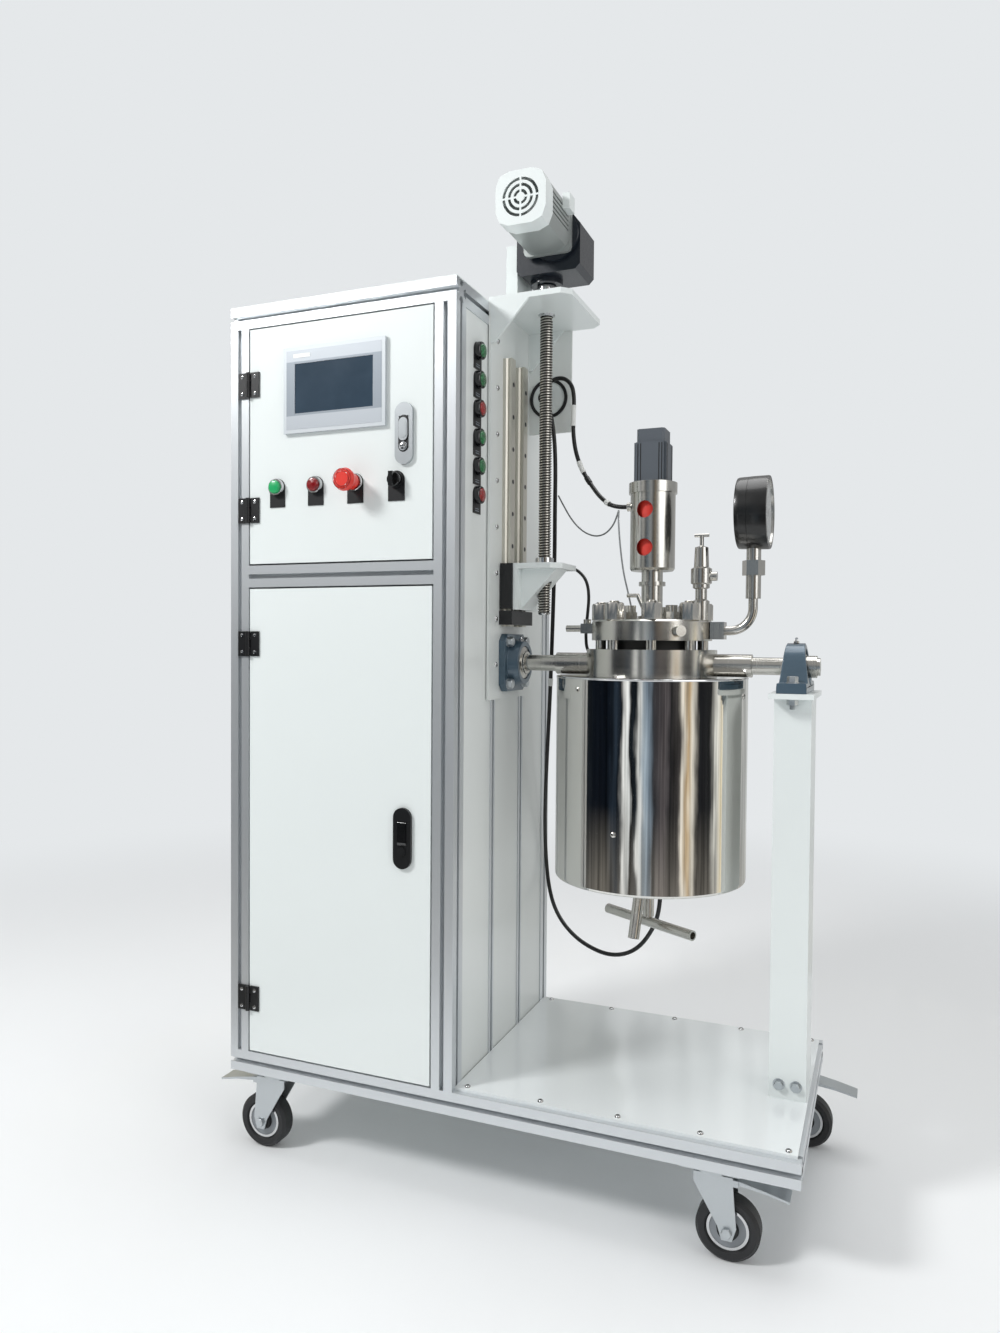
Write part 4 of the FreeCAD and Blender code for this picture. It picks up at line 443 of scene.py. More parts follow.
# The unlit red push button, with facets behind its face. The facets' bumps are real, but their light
# and dark tones are painted light and shade, and its faint glow is painted light.
DARK_RED = Finish(
    "dark_red_lens", "red_lens", "#8C1216", 0.0, 0.2, 0.04, coat=0.6,
    grain=Grain.LENS, size=0.006, depth=0.0006, shade=0.4, glow=0.02,
)
# Printed silver foil above and below the screen.
SILVER_FILM = Finish(
    "silver_front_film", "white_paint", "#AEB4BA", 0.3, 0.4, 0.05,
    size=0.001, depth=0.00001, shade=0.03,
)
# The darker foil round the screen.
DIM_FILM = Finish(
    "dim_front_film", "white_paint", "#8B939B", 0.3, 0.4, 0.05,
    size=0.001, depth=0.00001, shade=0.03,
)
# The unlit display, blue-black and glossy. Its faint glow is painted light.
SCREEN = Finish(
    "dark_display_glass", "screen_glass", "#2B3F50", 0.0, 0.14, 0.03, coat=0.5,
    size=0.03, depth=0.00001, shade=0.25, glow=0.05,
)
# Green lamp lenses with small bumped facets. The light and shade on the facets is also painted into
# their colour, and their faint glow is painted light.
GREEN = Finish(
    "green_lens", "green_lens", "#0C7A3E", 0.0, 0.14, 0.05, coat=0.9,
    grain=Grain.LENS, size=0.004, depth=0.0012, shade=0.75, glow=0.03,
)
# The brighter green of the front push button.
GREEN_CAP = Finish(
    "green_button_cap", "green_lens", "#0FA860", 0.0, 0.33, 0.03, coat=0.4,
    size=0.002, depth=0.00003, shade=0.06,
)
# Red lamp lenses of the same kind, with the same painted light and shade on the facets and painted
# glow.
RED = Finish(
    "red_lens", "red_lens", "#A81512", 0.0, 0.14, 0.05, coat=0.9,
    grain=Grain.LENS, size=0.004, depth=0.0012, shade=0.7, glow=0.03,
)
# The stop mushroom's satin red.
RED_CAP = Finish(
    "red_button_cap", "red_lens", "#DE3327", 0.0, 0.34, 0.04, coat=0.3,
    size=0.002, depth=0.00003, shade=0.05,
)
# The painted rotor seen through the housing's windows.
ROTOR_RED = Finish(
    "red_rotor_paint", "red_lens", "#D8382C", 0.0, 0.4, 0.06,
    grain=Grain.CAST, size=0.003, depth=0.00005, shade=0.12,
)
# Black wheel rubber, dull and dusty.
TYRE = Finish(
    "black_wheel_rubber", "tyre_rubber", "#242527", 0.0, 0.55, 0.08,
    grain=Grain.RUBBER, size=0.0015, depth=0.00008, shade=0.15,
)
# Black cable sheath with a soft sheen.
CABLE = Finish(
    "black_cable_rubber", "cable_rubber", "#121314", 0.0, 0.36, 0.06,
    grain=Grain.RUBBER, size=0.0012, depth=0.00003, shade=0.12,
)
# The probe's grey metal-look lead.
LEAD = Finish(
    "grey_lead_jacket", "lead_jacket", "#85888A", 0.3, 0.4, 0.06,
    grain=Grain.RUBBER, size=0.001, depth=0.00002, shade=0.08,
)
# White cloth tape, quite dull.
TAPE = Finish(
    "white_cloth_tape", "white_paint", "#E8E9E6", 0.0, 0.6, 0.06,
    grain=Grain.RUBBER, size=0.0008, depth=0.00005, shade=0.05,
)
# Dull black rubber of the lid's seal and the bushing.
GASKET = Finish(
    "black_gasket_rubber", "cable_rubber", "#1B1C1D", 0.0, 0.6, 0.08,
    grain=Grain.RUBBER, size=0.001, depth=0.00004, shade=0.1,
)
# Printed white of the dial and of the bare bar.
DIAL = Finish(
    "white_dial_face", "white_paint", "#F2F2EF", 0.0, 0.5, 0.03,
    size=0.002, depth=0.00001, shade=0.01,
)
# The gauge's window.
GLASS = Finish(
    "clear_gauge_glass", "screen_glass", "#F4F7F7", 0.0, 0.05, 0.02, clear=0.9,
    size=0.02, depth=0.00001, shade=0.01,
)
# The studio floor, which only takes shadows.
PALE_FLOOR = Finish(
    "pale_floor", "white_paint", "#F1F3F4", 0.0, 0.55, 0.05,
    size=0.05, depth=0.00001, shade=0.005,
)


FINISHES = Finishes()


def mesh_object(
    name: str,
    vertices: Iterable[Point],
    faces: Iterable[Sequence[int]],
    finish: Finish,
    body: str | None,
    angle: float = SHARP,
) -> bpy.types.Object:
    """Makes a piece from its points and faces.

    Args:
        name: The piece's name.
        vertices: Its points in metres.
        faces: Its faces as runs of point numbers.
        finish: Its surface.
        body: The body that it rides on, or nothing for the stage and the cables.
        angle: Edges that turn by more than this stay sharp.

    Returns:
        The new object.
    """
    mesh = bpy.data.meshes.new(name)
    mesh.from_pydata(np.asarray(vertices, float).tolist(), [], [tuple(face) for face in faces])
    mesh.validate()
    mesh.polygons.foreach_set("use_smooth", [True] * len(mesh.polygons))
    mesh.set_sharp_from_angle(angle=math.radians(angle))
    mesh.update()
    thing = bpy.data.objects.new(name, mesh)
    bpy.context.scene.collection.objects.link(thing)
    mesh.materials.append(FINISHES.get(finish))
    if body is not None:
        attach(thing, body)
    return thing


def circle(steps: int) -> tuple[np.ndarray, np.ndarray]:
    """Cosines and sines of even steps round a full circle."""
    angle = 2 * np.pi * np.arange(steps) / steps
    return np.cos(angle), np.sin(angle)


def ring_faces(rows: int, steps: int) -> np.ndarray:
    """Faces between closed rings of points that follow each other.

    Point s of ring r has the number r * steps + s. Each face joins two neighbours of a ring to
    the same two of the next ring.

    Args:
        rows: How many rings there are.
        steps: How many points each ring has.

    Returns:
        Four point numbers for each face.
    """
    grid = np.arange(rows * steps).reshape(rows, steps)
    low, high = grid[:-1], grid[1:]
    corners = [low, np.roll(low, -1, axis=1), np.roll(high, -1, axis=1), high]
    return np.stack(corners, axis=-1).reshape(-1, 4)


def swept(path: Iterable[Point], radius: float, steps: int) -> tuple[np.ndarray, list[list[int]]]:
    """A round tube along points, with no twist.

    At each point of the path a ring stands square to the path: the point plus the radius times
    the cosine of the angle along one side vector and its sine along the other. Each side vector
    is the one before it, made square to the path again.

    Args:
        path: The points of its middle line.
        radius: Its radius.
        steps: How many steps make its circle.

    Returns:
        The tube's points and faces.
    """
    line = np.array([tuple(point) for point in path], float)
    along = np.gradient(line, axis=0)
    along /= np.linalg.norm(along, axis=1, keepdims=True)
    side = np.array(Vector(along[0]).orthogonal())
    sides = []
    for way in along:
        side = side - way * side.dot(way)
        side = side / np.linalg.norm(side)
        sides.append(side)
    first = np.array(sides)[:, None]
    second = np.cross(along, np.array(sides))[:, None]
    cosine, sine = (part[None, :, None] for part in circle(steps))
    points = line[:, None] + radius * (cosine * first + sine * second)
    rim = np.arange(steps)
    ends = [rim[::-1].tolist(), (rim + (len(line) - 1) * steps).tolist()]
    return points.reshape(-1, 3), ring_faces(len(line), steps).tolist() + ends


def stadium(half: float, low: float, high: float, steps: int = 16) -> np.ndarray:
    """An upright outline with half-round ends, clockwise seen from the front.

    Args:
        half: Half its width.
        low: Its lowest point.
        high: Its highest point.
        steps: How many steps make each half-round end.

    Returns:
        Its corners.
    """
    angle = np.linspace(math.pi, 0.0, steps + 1)
    top = np.stack([half * np.cos(angle), high - half + half * np.sin(angle)], axis=1)
    back = angle[::-1]
    under = np.stack([half * np.cos(back), low + half - half * np.sin(back)], axis=1)
    return np.concatenate([top, under])


def thread_profile(radius: float, length: float, pitch: float) -> list[tuple[float, float]]:
    """The profile of a short threaded end, as rings, closed at both ends.

    Args:
        radius: The thread's outer radius.
        length: Its length.
        pitch: The distance from ring to ring.

    Returns:
        Radii and heights.
    """
    root = radius * 0.88
    profile = [(0.0, 0.0)]
    for index in range(max(1, int(length / pitch))):
        profile += [(root, pitch * index), (radius, pitch * (index + 0.5))]
    return profile + [(root, length), (0.0, length)]


def by_vessel(radius: float, degrees: float, level: float) -> tuple[float, float, float]:
    """A point at a distance and an angle from the vessel's upright axis."""
    angle = math.radians(degrees)
    return (VESSEL_X + radius * math.cos(angle), MIDDLE + radius * math.sin(angle), level)


@dataclass
class Form:
    """Points and faces that grow as shapes are added, and end as one piece.

    Args:
        name: The piece's name.
        finish: Its surface.
        body: The body that it rides on.
        vertices: The points so far.
        faces: The faces so far.
    """

    name: str
    finish: Finish
    body: str
    vertices: list[list[float]] = field(default_factory=list)
    faces: list[list[int]] = field(default_factory=list)

    def add(self, points: Iterable[Point], faces: Iterable[Sequence[int]]) -> None:
        """Adds points and the faces between them, which count from the first new point."""
        start = len(self.vertices)
        self.vertices.extend(np.asarray(points, float).tolist())
        self.faces.extend([start + index for index in face] for face in faces)

    def turned(
        self,
        profile: Sequence[tuple[float, float]],
        at: Point,
        axis: str = "Z",
        steps: int = 40,
        turn: Matrix | None = None,
    ) -> None:
        """Adds a profile of radii and heights, turned about an axis.

        Each row of the profile gives a ring: its radius times the cosine and the sine of even
        steps, at its height. A row with a radius of 0 gives one point, which closes the end.

        Args:
            profile: Radii and heights.
            at: Where the axis starts.
            axis: The axis.
            steps: How many steps make the circle.
            turn: A turn in place of the axis.
        """
        rows = np.array(profile, float)
        shut = rows[:, 0] <= TINY
        cosine, sine = circle(steps)
        radii, heights = rows[:, :1], np.repeat(rows[:, 1:], steps, axis=1)
        rings = np.stack([radii * cosine, radii * sine, heights], axis=-1)
        kept = [ring[:1] if end else ring for ring, end in zip(rings, shut)]
        first = np.cumsum([0] + [len(ring) for ring in kept])
        step = np.arange(steps)
        after = (step + 1) % steps
        faces: list[list[int]] = []
        for row in range(len(rows) - 1):
            low = first[row] + (0 * step if shut[row] else step)
            low_after = first[row] + after
            high = first[row + 1] + (0 * step if shut[row + 1] else step)
            high_after = first[row + 1] + after
            if shut[row] and shut[row + 1]:
                continue
            corners = [low, low_after, high_after, high]
            if shut[row]:
                corners = [low, high_after, high]
            elif shut[row + 1]:
                corners = [low, low_after, high]
            faces += np.stack(corners, axis=1).tolist()
        matrix = np.array(Matrix.Translation(Vector(at)) @ (turn or AXIS_TURN[axis]))
        self.add(np.concatenate(kept) @ matrix[:3, :3].T + matrix[:3, 3], faces)

    def block(self, low: Point, high: Point, soft: float = 0.0) -> None:
        """Adds a box, with its edges cut back a little.

        Args:
            low: Its lowest corner.
            high: Its highest corner.
            soft: How far its edges are cut back.
        """
        corners = np.array([low, high], float)
        place = Matrix.Translation(Vector(corners.mean(axis=0)))
        spans = Matrix.Diagonal((*(corners[1] - corners[0]), 1.0))
        cube = bmesh.new()
        bmesh.ops.create_cube(cube, size=1.0, matrix=place @ spans)
        if soft > 0:
            edges = list(cube.edges)
            bmesh.ops.bevel(cube, geom=edges, offset=soft, segments=2, affect="EDGES", profile=0.5)
        cube.verts.index_update()
        points = [tuple(vertex.co) for vertex in cube.verts]
        faces = [[vertex.index for vertex in face.verts] for face in cube.faces]
        cube.free()
        self.add(points, faces)

    def prism(self, outline: Iterable[Point], at: Point, axis: str, length: float) -> None:
        """Adds an outline pulled along an axis.

        Args:
            outline: Its corners, counterclockwise seen from the axis's far end.
            at: Where the outline's own origin lies.
            axis: The axis.
            length: How far it is pulled.
        """
        flat = np.asarray(outline, float)
        count = len(flat)
        across, up, along = AXES[axis]
        points = np.tile(np.array(at, float), (2 * count, 1))
        points[:, across] += np.tile(flat[:, 0], 2)
        points[:, up] += np.tile(flat[:, 1], 2)
        points[count:, along] += length
        rim = np.arange(count)
        ends = [rim[::-1].tolist(), (rim + count).tolist()]
        self.add(points, ends + ring_faces(2, count).tolist())

    def hexagon(self, at: Point, flats: float, height: float, axis: str = "Z") -> None:
        """Adds a hexagon head with its corners turned off at the top.

        Its reach at an angle is half its width across flats over the cosine of the angle from
        the middle of the nearest side, and the top ring's reach stops at 97 % of that half.

        Args:
            at: The middle of its foot.
            flats: Its width across flats.
            height: Its height.
            axis: The way it points.
        """
        steps, sixth = 24, math.pi / 6
        half = flats / 2
        rim = min(height * 0.12, flats / math.sqrt(3) - half + 0.0003)
        angle = 2 * np.pi * np.arange(steps) / steps
        nearest = (angle + sixth) % (2 * sixth) - sixth
        reach = half / np.cos(sixth - np.abs(nearest))
        top = np.minimum(reach, half * 0.97)
        rings = [
            np.stack([r * np.cos(angle), r * np.sin(angle), np.full(steps, level)], axis=1)
            for r, level in ((reach, 0.0), (reach, height - rim), (top, height))
        ]
        points = np.concatenate([*rings, [(0.0, 0.0, 0.0), (0.0, 0.0, height)]])
        step = np.arange(steps)
        after = (step + 1) % steps
        foot = np.stack([0 * step + 3 * steps, after, step], axis=1)
        head = np.stack([0 * step + 3 * steps + 1, 2 * steps + step, 2 * steps + after], axis=1)
        faces = ring_faces(3, steps).tolist() + foot.tolist() + head.tolist()
        matrix = np.array(Matrix.Translation(Vector(at)) @ AXIS_TURN[axis])
        self.add(points @ matrix[:3, :3].T + matrix[:3, 3], faces)

    def socket_head(self, at: Point, radius: float, axis: str = "Z") -> None:
        """Adds a domed screw head with a socket.

        Args:
            at: The middle of its seat.
            radius: The head's radius.
            axis: The way it faces.
        """
        dome = (
            (1.0, 0.0), (0.97, 0.22), (0.8, 0.48), (0.55, 0.6), (0.46, 0.6), (0.4, 0.2), (0.0, 0.2),
        )
        self.turned([(radius * out, radius * up) for out, up in dome], at, axis, 18)

    def front_head(self, at: Point, radius: float) -> None:
        """Adds a flatter screw head that faces the front.

        Args:
            at: The middle of its seat.
            radius: Its radius.
        """
        dome = ((1.0, 0.0), (0.9, 0.3), (0.5, 0.42), (0.4, 0.12), (0.0, 0.12))
        profile = [(radius * out, radius * up) for out, up in dome]
        self.turned(profile, at, "Y", 18, TO_FRONT)

    def dash(
        self, centre: Point, out: float, degrees: float, inner: float, outer: float, half: float
    ) -> None:
        """Adds one short flat line to a dial that faces along X.

        Args:
            centre: The dial's middle.
            out: How far in front of it the line lies.
            degrees: The way it points.
            inner: Where it starts.
            outer: Where it ends.
            half: Half its width.
        """
        angle = math.radians(degrees)
        along = np.array((0.0, math.cos(angle), math.sin(angle)))
        across = np.array((0.0, -math.sin(angle), math.cos(angle))) * half
        middle = np.array(centre) + (out, 0.0, 0.0)
        near, far = middle + along * inner, middle + along * outer
        self.add([near - across, far - across, far + across, near + across], [(0, 1, 2, 3)])

    def build(self, angle: float = SHARP) -> bpy.types.Object:
        """Ends the form as one piece whose edges above this angle stay sharp."""
        return mesh_object(self.name, self.vertices, self.faces, self.finish, self.body, angle)


def rest(_low: Vector, _high: Vector) -> bool:
    """Takes every solid that no rule before it took."""
    return True


@dataclass
class CadNode:
    """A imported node, which keeps its shape and gets its finish, or is split into its solids.

    Args:
        name: The node's name.
        thing: Its object.
        body: The body that it rides on.
    """

    name: str
    thing: bpy.types.Object
    body: str

    def wear(self, finish: Finish) -> None:
        """Gives the whole node one finish."""
        for slot in self.thing.material_slots:
            slot.material = FINISHES.get(finish)

    def merged(self) -> tuple[np.ndarray, np.ndarray, np.ndarray]:
        """The node's points with doubles joined, its triangles, and each point's solid.

        Each point starts with its own number. Each edge hands the lower number of its two ends
        to both, until nothing changes, so every solid ends with one number.
        """
        grid = bmesh.new()
        grid.from_mesh(self.thing.data)
        bmesh.ops.remove_doubles(grid, verts=grid.verts, dist=2e-6)
        mesh = bpy.data.meshes.new(f"{self.name}_merged")
        grid.to_mesh(mesh)
        grid.free()
        mesh.calc_loop_triangles()
        points = np.empty(len(mesh.vertices) * 3)
        mesh.vertices.foreach_get("co", points)
        edges = np.empty(len(mesh.edges) * 2, np.int32)
        mesh.edges.foreach_get("vertices", edges)
        triangles = np.empty(len(mesh.loop_triangles) * 3, np.int32)
        mesh.loop_triangles.foreach_get("vertices", triangles)
        bpy.data.meshes.remove(mesh)
        ends = edges.reshape(-1, 2).T
        solid = np.arange(len(points) // 3)
        while True:
            lower = np.minimum(solid[ends[0]], solid[ends[1]])
            after = solid.copy()
            np.minimum.at(after, ends[0], lower)
            np.minimum.at(after, ends[1], lower)
            after = after[after]
            if np.array_equal(after, solid):
                break
            solid = after
        return points.reshape(-1, 3), triangles.reshape(-1, 3), solid

    def split(
        self, rules: Sequence[tuple[str, Finish, Fits]], soft: float = 0.0
    ) -> list[bpy.types.Object]:
        """Stands one piece for each group of the node's solids, each with its own finish.

        Args:
            rules: For each piece its name, its surface, and whether a solid from one corner to
                another belongs to it. The first that fits is used.
            soft: How far the pieces' sharp edges are rounded.

        Returns:
            The new pieces.
        """
        points, triangles, solid = self.merged()
        groups: dict[str, tuple[Finish, list[int]]] = {}
        for number in np.unique(solid):
            own = points[solid == number]
            low, high = Vector(own.min(axis=0)), Vector(own.max(axis=0))
            name, finish = next((n, f) for n, f, fits in rules if fits(low, high))
            groups.setdefault(name, (finish, []))[1].append(int(number))
        pieces = []
        for name, (finish, solids) in groups.items():
            held = np.isin(solid, solids)
            place = np.cumsum(held) - 1
            faces = place[triangles[held[triangles[:, 0]]]]
            piece = mesh_object(name, points[held], faces.tolist(), finish, self.body)
            if soft > 0:
                rounding = piece.modifiers.new("edges", "BEVEL")
                rounding.width = soft
                rounding.segments = 2
                rounding.limit_method = "ANGLE"
                rounding.angle_limit = math.radians(50)
                rounding.harden_normals = True
            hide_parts(self.name)
            pieces.append(piece)
        return pieces


@dataclass
class Stage:
    """The camera, the floor and the light.

    Args:
        focal: The lens's focal length in millimetres, on a 36 mm wide frame.
        place: Where the camera stands.
        azimuth: How far it looks to the left of straight back, in degrees.
        pitch: How far it looks down.
        roll: How far it leans.
        near: Up to this distance the floor keeps its own tone.
        far: From this distance it has the wall's tone.
        ring: The radius of the ring of flats round the vessel.
        strength: The surroundings' light.
    """

    focal: float = 25.73
    place: Point = (0.6261, -1.6720, 0.9565)
    azimuth: float = 22.334
    pitch: float = 1.405
    roll: float = -0.413
    near: float = 1.1
    far: float = 3.6
    ring: float = 1.25
    strength: float = 0.45

    def build(self) -> None:
        """Makes the whole stage."""
        bpy.context.scene.view_settings.view_transform = "Standard"
        self.camera()
        self.floor()
        self.surroundings()
        self.flats()
        self.light("key_lamp", (-2.2, -2.4, 3.2), (0.0, 0.0, 0.9), 0.9, 92.0)
        self.light("fill_lamp", (3.0, -1.6, 2.2), (0.1, 0.0, 0.9), 2.4, 26.0)
        self.light("top_lamp", (0.2, 0.4, 3.8), (0.1, 0.0, 0.8), 2.6, 48.0)

    def camera(self) -> None:
        """Puts the camera where the photograph was taken from."""
        azimuth, pitch, roll = map(math.radians, (self.azimuth, self.pitch, self.roll))
        level = math.cos(pitch)
        forward = Vector(
            (-math.sin(azimuth) * level, math.cos(azimuth) * level, -math.sin(pitch))
        )
        right = Vector((math.cos(azimuth), math.sin(azimuth), 0.0))
        up = right.cross(forward)
        rolled_right = right * math.cos(roll) - up * math.sin(roll)
        rolled_up = right * math.sin(roll) + up * math.cos(roll)
        data = bpy.data.cameras.new("photo_camera")
        data.sensor_fit = "AUTO"
        data.sensor_width = 36.0
        data.lens = self.focal
        data.clip_end = 50.0
        thing = bpy.data.objects.new("photo_camera", data)
        matrix = Matrix((rolled_right, rolled_up, -forward)).transposed().to_4x4()
        matrix.translation = self.place
        thing.matrix_world = matrix
        bpy.context.scene.collection.objects.link(thing)
        bpy.context.scene.camera = thing

    def floor(self) -> None:
        """Lays a plain pale floor, which far away takes the wall's tone as a backdrop does."""
        half = 9.0
        corners = [(-half, -half, 0), (half, -half, 0), (half, half, 0), (-half, half, 0)]
        thing = mesh_object("floor", corners, [(0, 1, 2, 3)], PALE_FLOOR, None)
        tree = thing.data.materials[0].node_tree
        add = partial(add_node, tree)
        output = next(node for node in tree.nodes if node.type == "OUTPUT_MATERIAL")
        paint = next(node for node in tree.nodes if node.type == "BSDF_PRINCIPLED")
        place = add("TexCoord").outputs["Object"]
        away = add("VectorMath", {0: place}, operation="LENGTH").outputs["Value"]
        limits = {"Value": away, "From Min": self.near, "From Max": self.far}
        share = add("MapRange", limits, interpolation_type="SMOOTHSTEP").outputs[0]
        wall = add("Emission", {"Color": linear(WALL), "Strength": 1.0}).outputs[0]
        mixed = add("MixShader", {0: share, 1: paint.outputs[0], 2: wall})
        tree.links.new(mixed.outputs[0], output.inputs["Surface"])

    def light(self, name: str, at: Point, toward: Point, size: float, power: float) -> None:
        """Adds one soft lamp.

        Args:
            name: The lamp's name.
            at: Where it stands.
            toward: Where it points.
            size: Its width.
            power: Its power in watts.
        """
        data = bpy.data.lights.new(name, "AREA")
        data.shape = "DISK"
        data.size = size
        data.energy = power
        thing = bpy.data.objects.new(name, data)
        thing.location = at
        aim = Vector(toward) - Vector(at)
        thing.rotation_euler = aim.to_track_quat("-Z", "Y").to_euler()
        bpy.context.scene.collection.objects.link(thing)

    def surroundings(self) -> None:
        """Fills the studio with pale light, and with darker flats that bright metal mirrors."""
        world = bpy.data.worlds.new("studio")
        world.use_nodes = True
        tree = world.node_tree
        tree.nodes.clear()
        add = partial(add_node, tree)
        split = add("SeparateXYZ", {0: add("TexCoord").outputs["Generated"]}).outputs
        angle = add("Math", {0: split[1], 1: split[0]}, operation="ARCTAN2").outputs[0]
        turn = {"Value": angle, "From Min": -math.pi, "From Max": math.pi}
        flats = ramp(
            tree,
            add("MapRange", turn).outputs[0],
            (
                (0.00, "#F4F6F7"), (0.045, "#8F979E"), (0.075, "#F1F2F1"), (0.115, "#5E676F"),
                (0.15, "#EDEDE9"), (0.185, "#2F3A46"), (0.225, "#9FB0BF"), (0.262, "#E9EDF0"),
                (0.295, "#39424A"), (0.325, "#B79F7C"), (0.35, "#F3F1EC"), (0.385, "#4A4F55"),
                (0.42, "#FAFAFA"), (0.5, "#F7F8F8"), (0.62, "#E4E7E9"), (0.7, "#FFFFFF"),
                (0.8, "#DDE1E4"), (0.9, "#FFFFFF"),
            ),
        )
        height = {"Value": split[2], "From Min": 0.18, "From Max": 0.42}
        level = add("MapRange", height).outputs[0]
        white = (1.0, 1.0, 1.0, 1.0)
        room = add("Mix", {0: level, 6: flats, 7: white}, data_type="RGBA").outputs[2]
        seen = add("LightPath").outputs["Is Camera Ray"]
        lit = add("Background", {"Color": room, "Strength": self.strength}).outputs[0]
        wall = add("Background", {"Color": linear(WALL), "Strength": 1.0}).outputs[0]
        shown = add("MixShader", {0: seen, 1: lit, 2: wall}).outputs[0]
        add("OutputWorld", {"Surface": shown})
        bpy.context.scene.world = world

    def flats(self) -> None:
        """Stands a low ring of pale and dark flats round the vessel, which only bright metal shows.

        The ring is a cylinder about the vessel's axis: its radius times the cosine and the sine
        of even steps, at three heights. Each strip is a share of it from one angle to the next,
        and its colours run softly into each other and waver with height.
        """
        steps, levels = 180, (0.002, 0.5, 1.0)
        cosine, sine = circle(steps)
        x, y = VESSEL_X + self.ring * cosine, MIDDLE + self.ring * sine
        rows = [np.stack([x, y, np.full(steps, z)], axis=1) for z in levels]
        faces = ring_faces(len(levels), steps)[:, ::-1]
        mesh = bpy.data.meshes.new("studio_flats")
        mesh.from_pydata(np.concatenate(rows).tolist(), [], faces.tolist())
        mesh.polygons.foreach_set("use_smooth", [True] * len(mesh.polygons))
        mesh.materials.append(self.flat_paint())
        thing = bpy.data.objects.new("studio_flats", mesh)
        bpy.context.scene.collection.objects.link(thing)
        thing.visible_camera = False
        thing.visible_diffuse = False
        thing.visible_shadow = False
        thing.visible_transmission = False

    def flat_paint(self) -> bpy.types.Material:
        """Paints the ring of flats with strips of colour that give off their own light.

        Returns:
            The material.
        """
        material = bpy.data.materials.new("painted_studio_flats")
        material.use_nodes = True
        tree = material.node_tree
        tree.nodes.clear()
        add = partial(add_node, tree)

        def maths(operation: str, *values) -> bpy.types.NodeSocket:
            """The result of a sum over numbers and outputs."""
            return add("Math", dict(enumerate(values)), operation=operation).outputs[0]

        def noise(place, scale: float, detail: float) -> bpy.types.NodeSocket:
            """Soft noise over a place."""
            inputs = {"Vector": place, "Scale": scale, "Detail": detail}
            return add("TexNoise", inputs).outputs["Fac"]

        place = add("TexCoord").outputs["Object"]
        axis = (VESSEL_X, MIDDLE, 0.0)
        centred = add("VectorMath", {0: place, 1: axis}, operation="SUBTRACT").outputs[0]
        split = add("SeparateXYZ", {0: centred}).outputs
        around = maths("ARCTAN2", split[1], split[0])
        tall = add("Mapping", {"Vector": centred, "Scale": (1.0, 1.0, 1.6)}).outputs[0]
        strayed = maths("MULTIPLY_ADD", noise(tall, 3.4, 4.0), 0.22, around)
        # The ramp starts behind the vessel as the camera sees it, and runs anticlockwise.
        start = -math.radians(76.7) - math.pi + 0.17
        wrapped = maths("FLOORED_MODULO", maths("SUBTRACT", strayed, start), 2 * math.pi)
        strips = (
            (-180, "#6F706A"), (-132, "#5E6058"), (-127, "#B9B6A8"), (-97, "#A9A798"),
            (-93, "#1E1E1B"), (-88, "#8E8E86"), (-82, "#2B3036"), (-70, "#0F151E"),
            (-50, "#0C1119"), (-42, "#2C3744"), (-36, "#12171F"), (-31, "#F6F8F8"),
            (-27, "#E8ECEE"), (-24, "#111419"), (-19, "#232A32"), (-16, "#FAFCFC"),
            (-11, "#AEBCC8"), (-5, "#8798A9"), (0, "#333439"), (11, "#625D60"),
            (18, "#262628"), (28, "#4D4A4A"), (32, "#EFE9DE"), (38, "#C4AA84"),
            (44, "#F4EFE4"), (50, "#1F2023"), (66, "#2A2B2D"), (76, "#ECECE6"),
            (84, "#FFF0CC"), (90, "#FFFFFF"), (100, "#3A3C3E"), (110, "#B9BBBA"),
        )
        stops = [((degrees + 180) / 360, colour) for degrees, colour in strips]
        flats = ramp(tree, maths("DIVIDE", wrapped, 2 * math.pi), stops)
        drawn = add("Mapping", {"Vector": centred, "Scale": (1.0, 1.0, 0.12)}).outputs[0]
        streak = {"Value": noise(drawn, 16.0, 3.0), "From Min": 0.35, "From Max": 0.65}
        bright = add("MapRange", {**streak, "To Min": 0.6, "To Max": 1.5}).outputs[0]
        height = {"Value": split[2], "From Min": 0.12, "From Max": 0.5}
        low = add("MapRange", {**height, "To Min": 0.62, "To Max": 0.0}).outputs[0]
        paler = maths("MULTIPLY", low, noise(tall, 1.7, 2.0))
        beige = linear("#C9C2B6")
        colour = add("Mix", {0: paler, 6: flats, 7: beige}, data_type="RGBA").outputs[2]
        light = add("Emission", {"Color": colour, "Strength": bright})
        add("OutputMaterial", {"Surface": light.outputs[0]})
        material.cycles.emission_sampling = "NONE"
        return material


@dataclass(frozen=True)
class Route:
    """A free cable's facts.

    Args:
        name: The cable's node.
        finish: Its surface.
        radius: Its radius in metres.
        length: Its length in metres.
        offsets: Its points, as millimetres from the cable hole.
        ends: Its last points in metres.
    """

    name: str
    finish: Finish
    radius: float
    length: float
    offsets: tuple[tuple[float, float, float], ...]
    ends: tuple[tuple[float, float, float], ...]

    def points(self) -> list[Vector]:
        """The route's points.

        Returns:
            The points in metres.
        """
        start = Vector(CABLE_HOLE)
        near = [start + Vector(offset) / 1000 for offset in self.offsets]
        return near + [Vector(end) for end in self.ends]
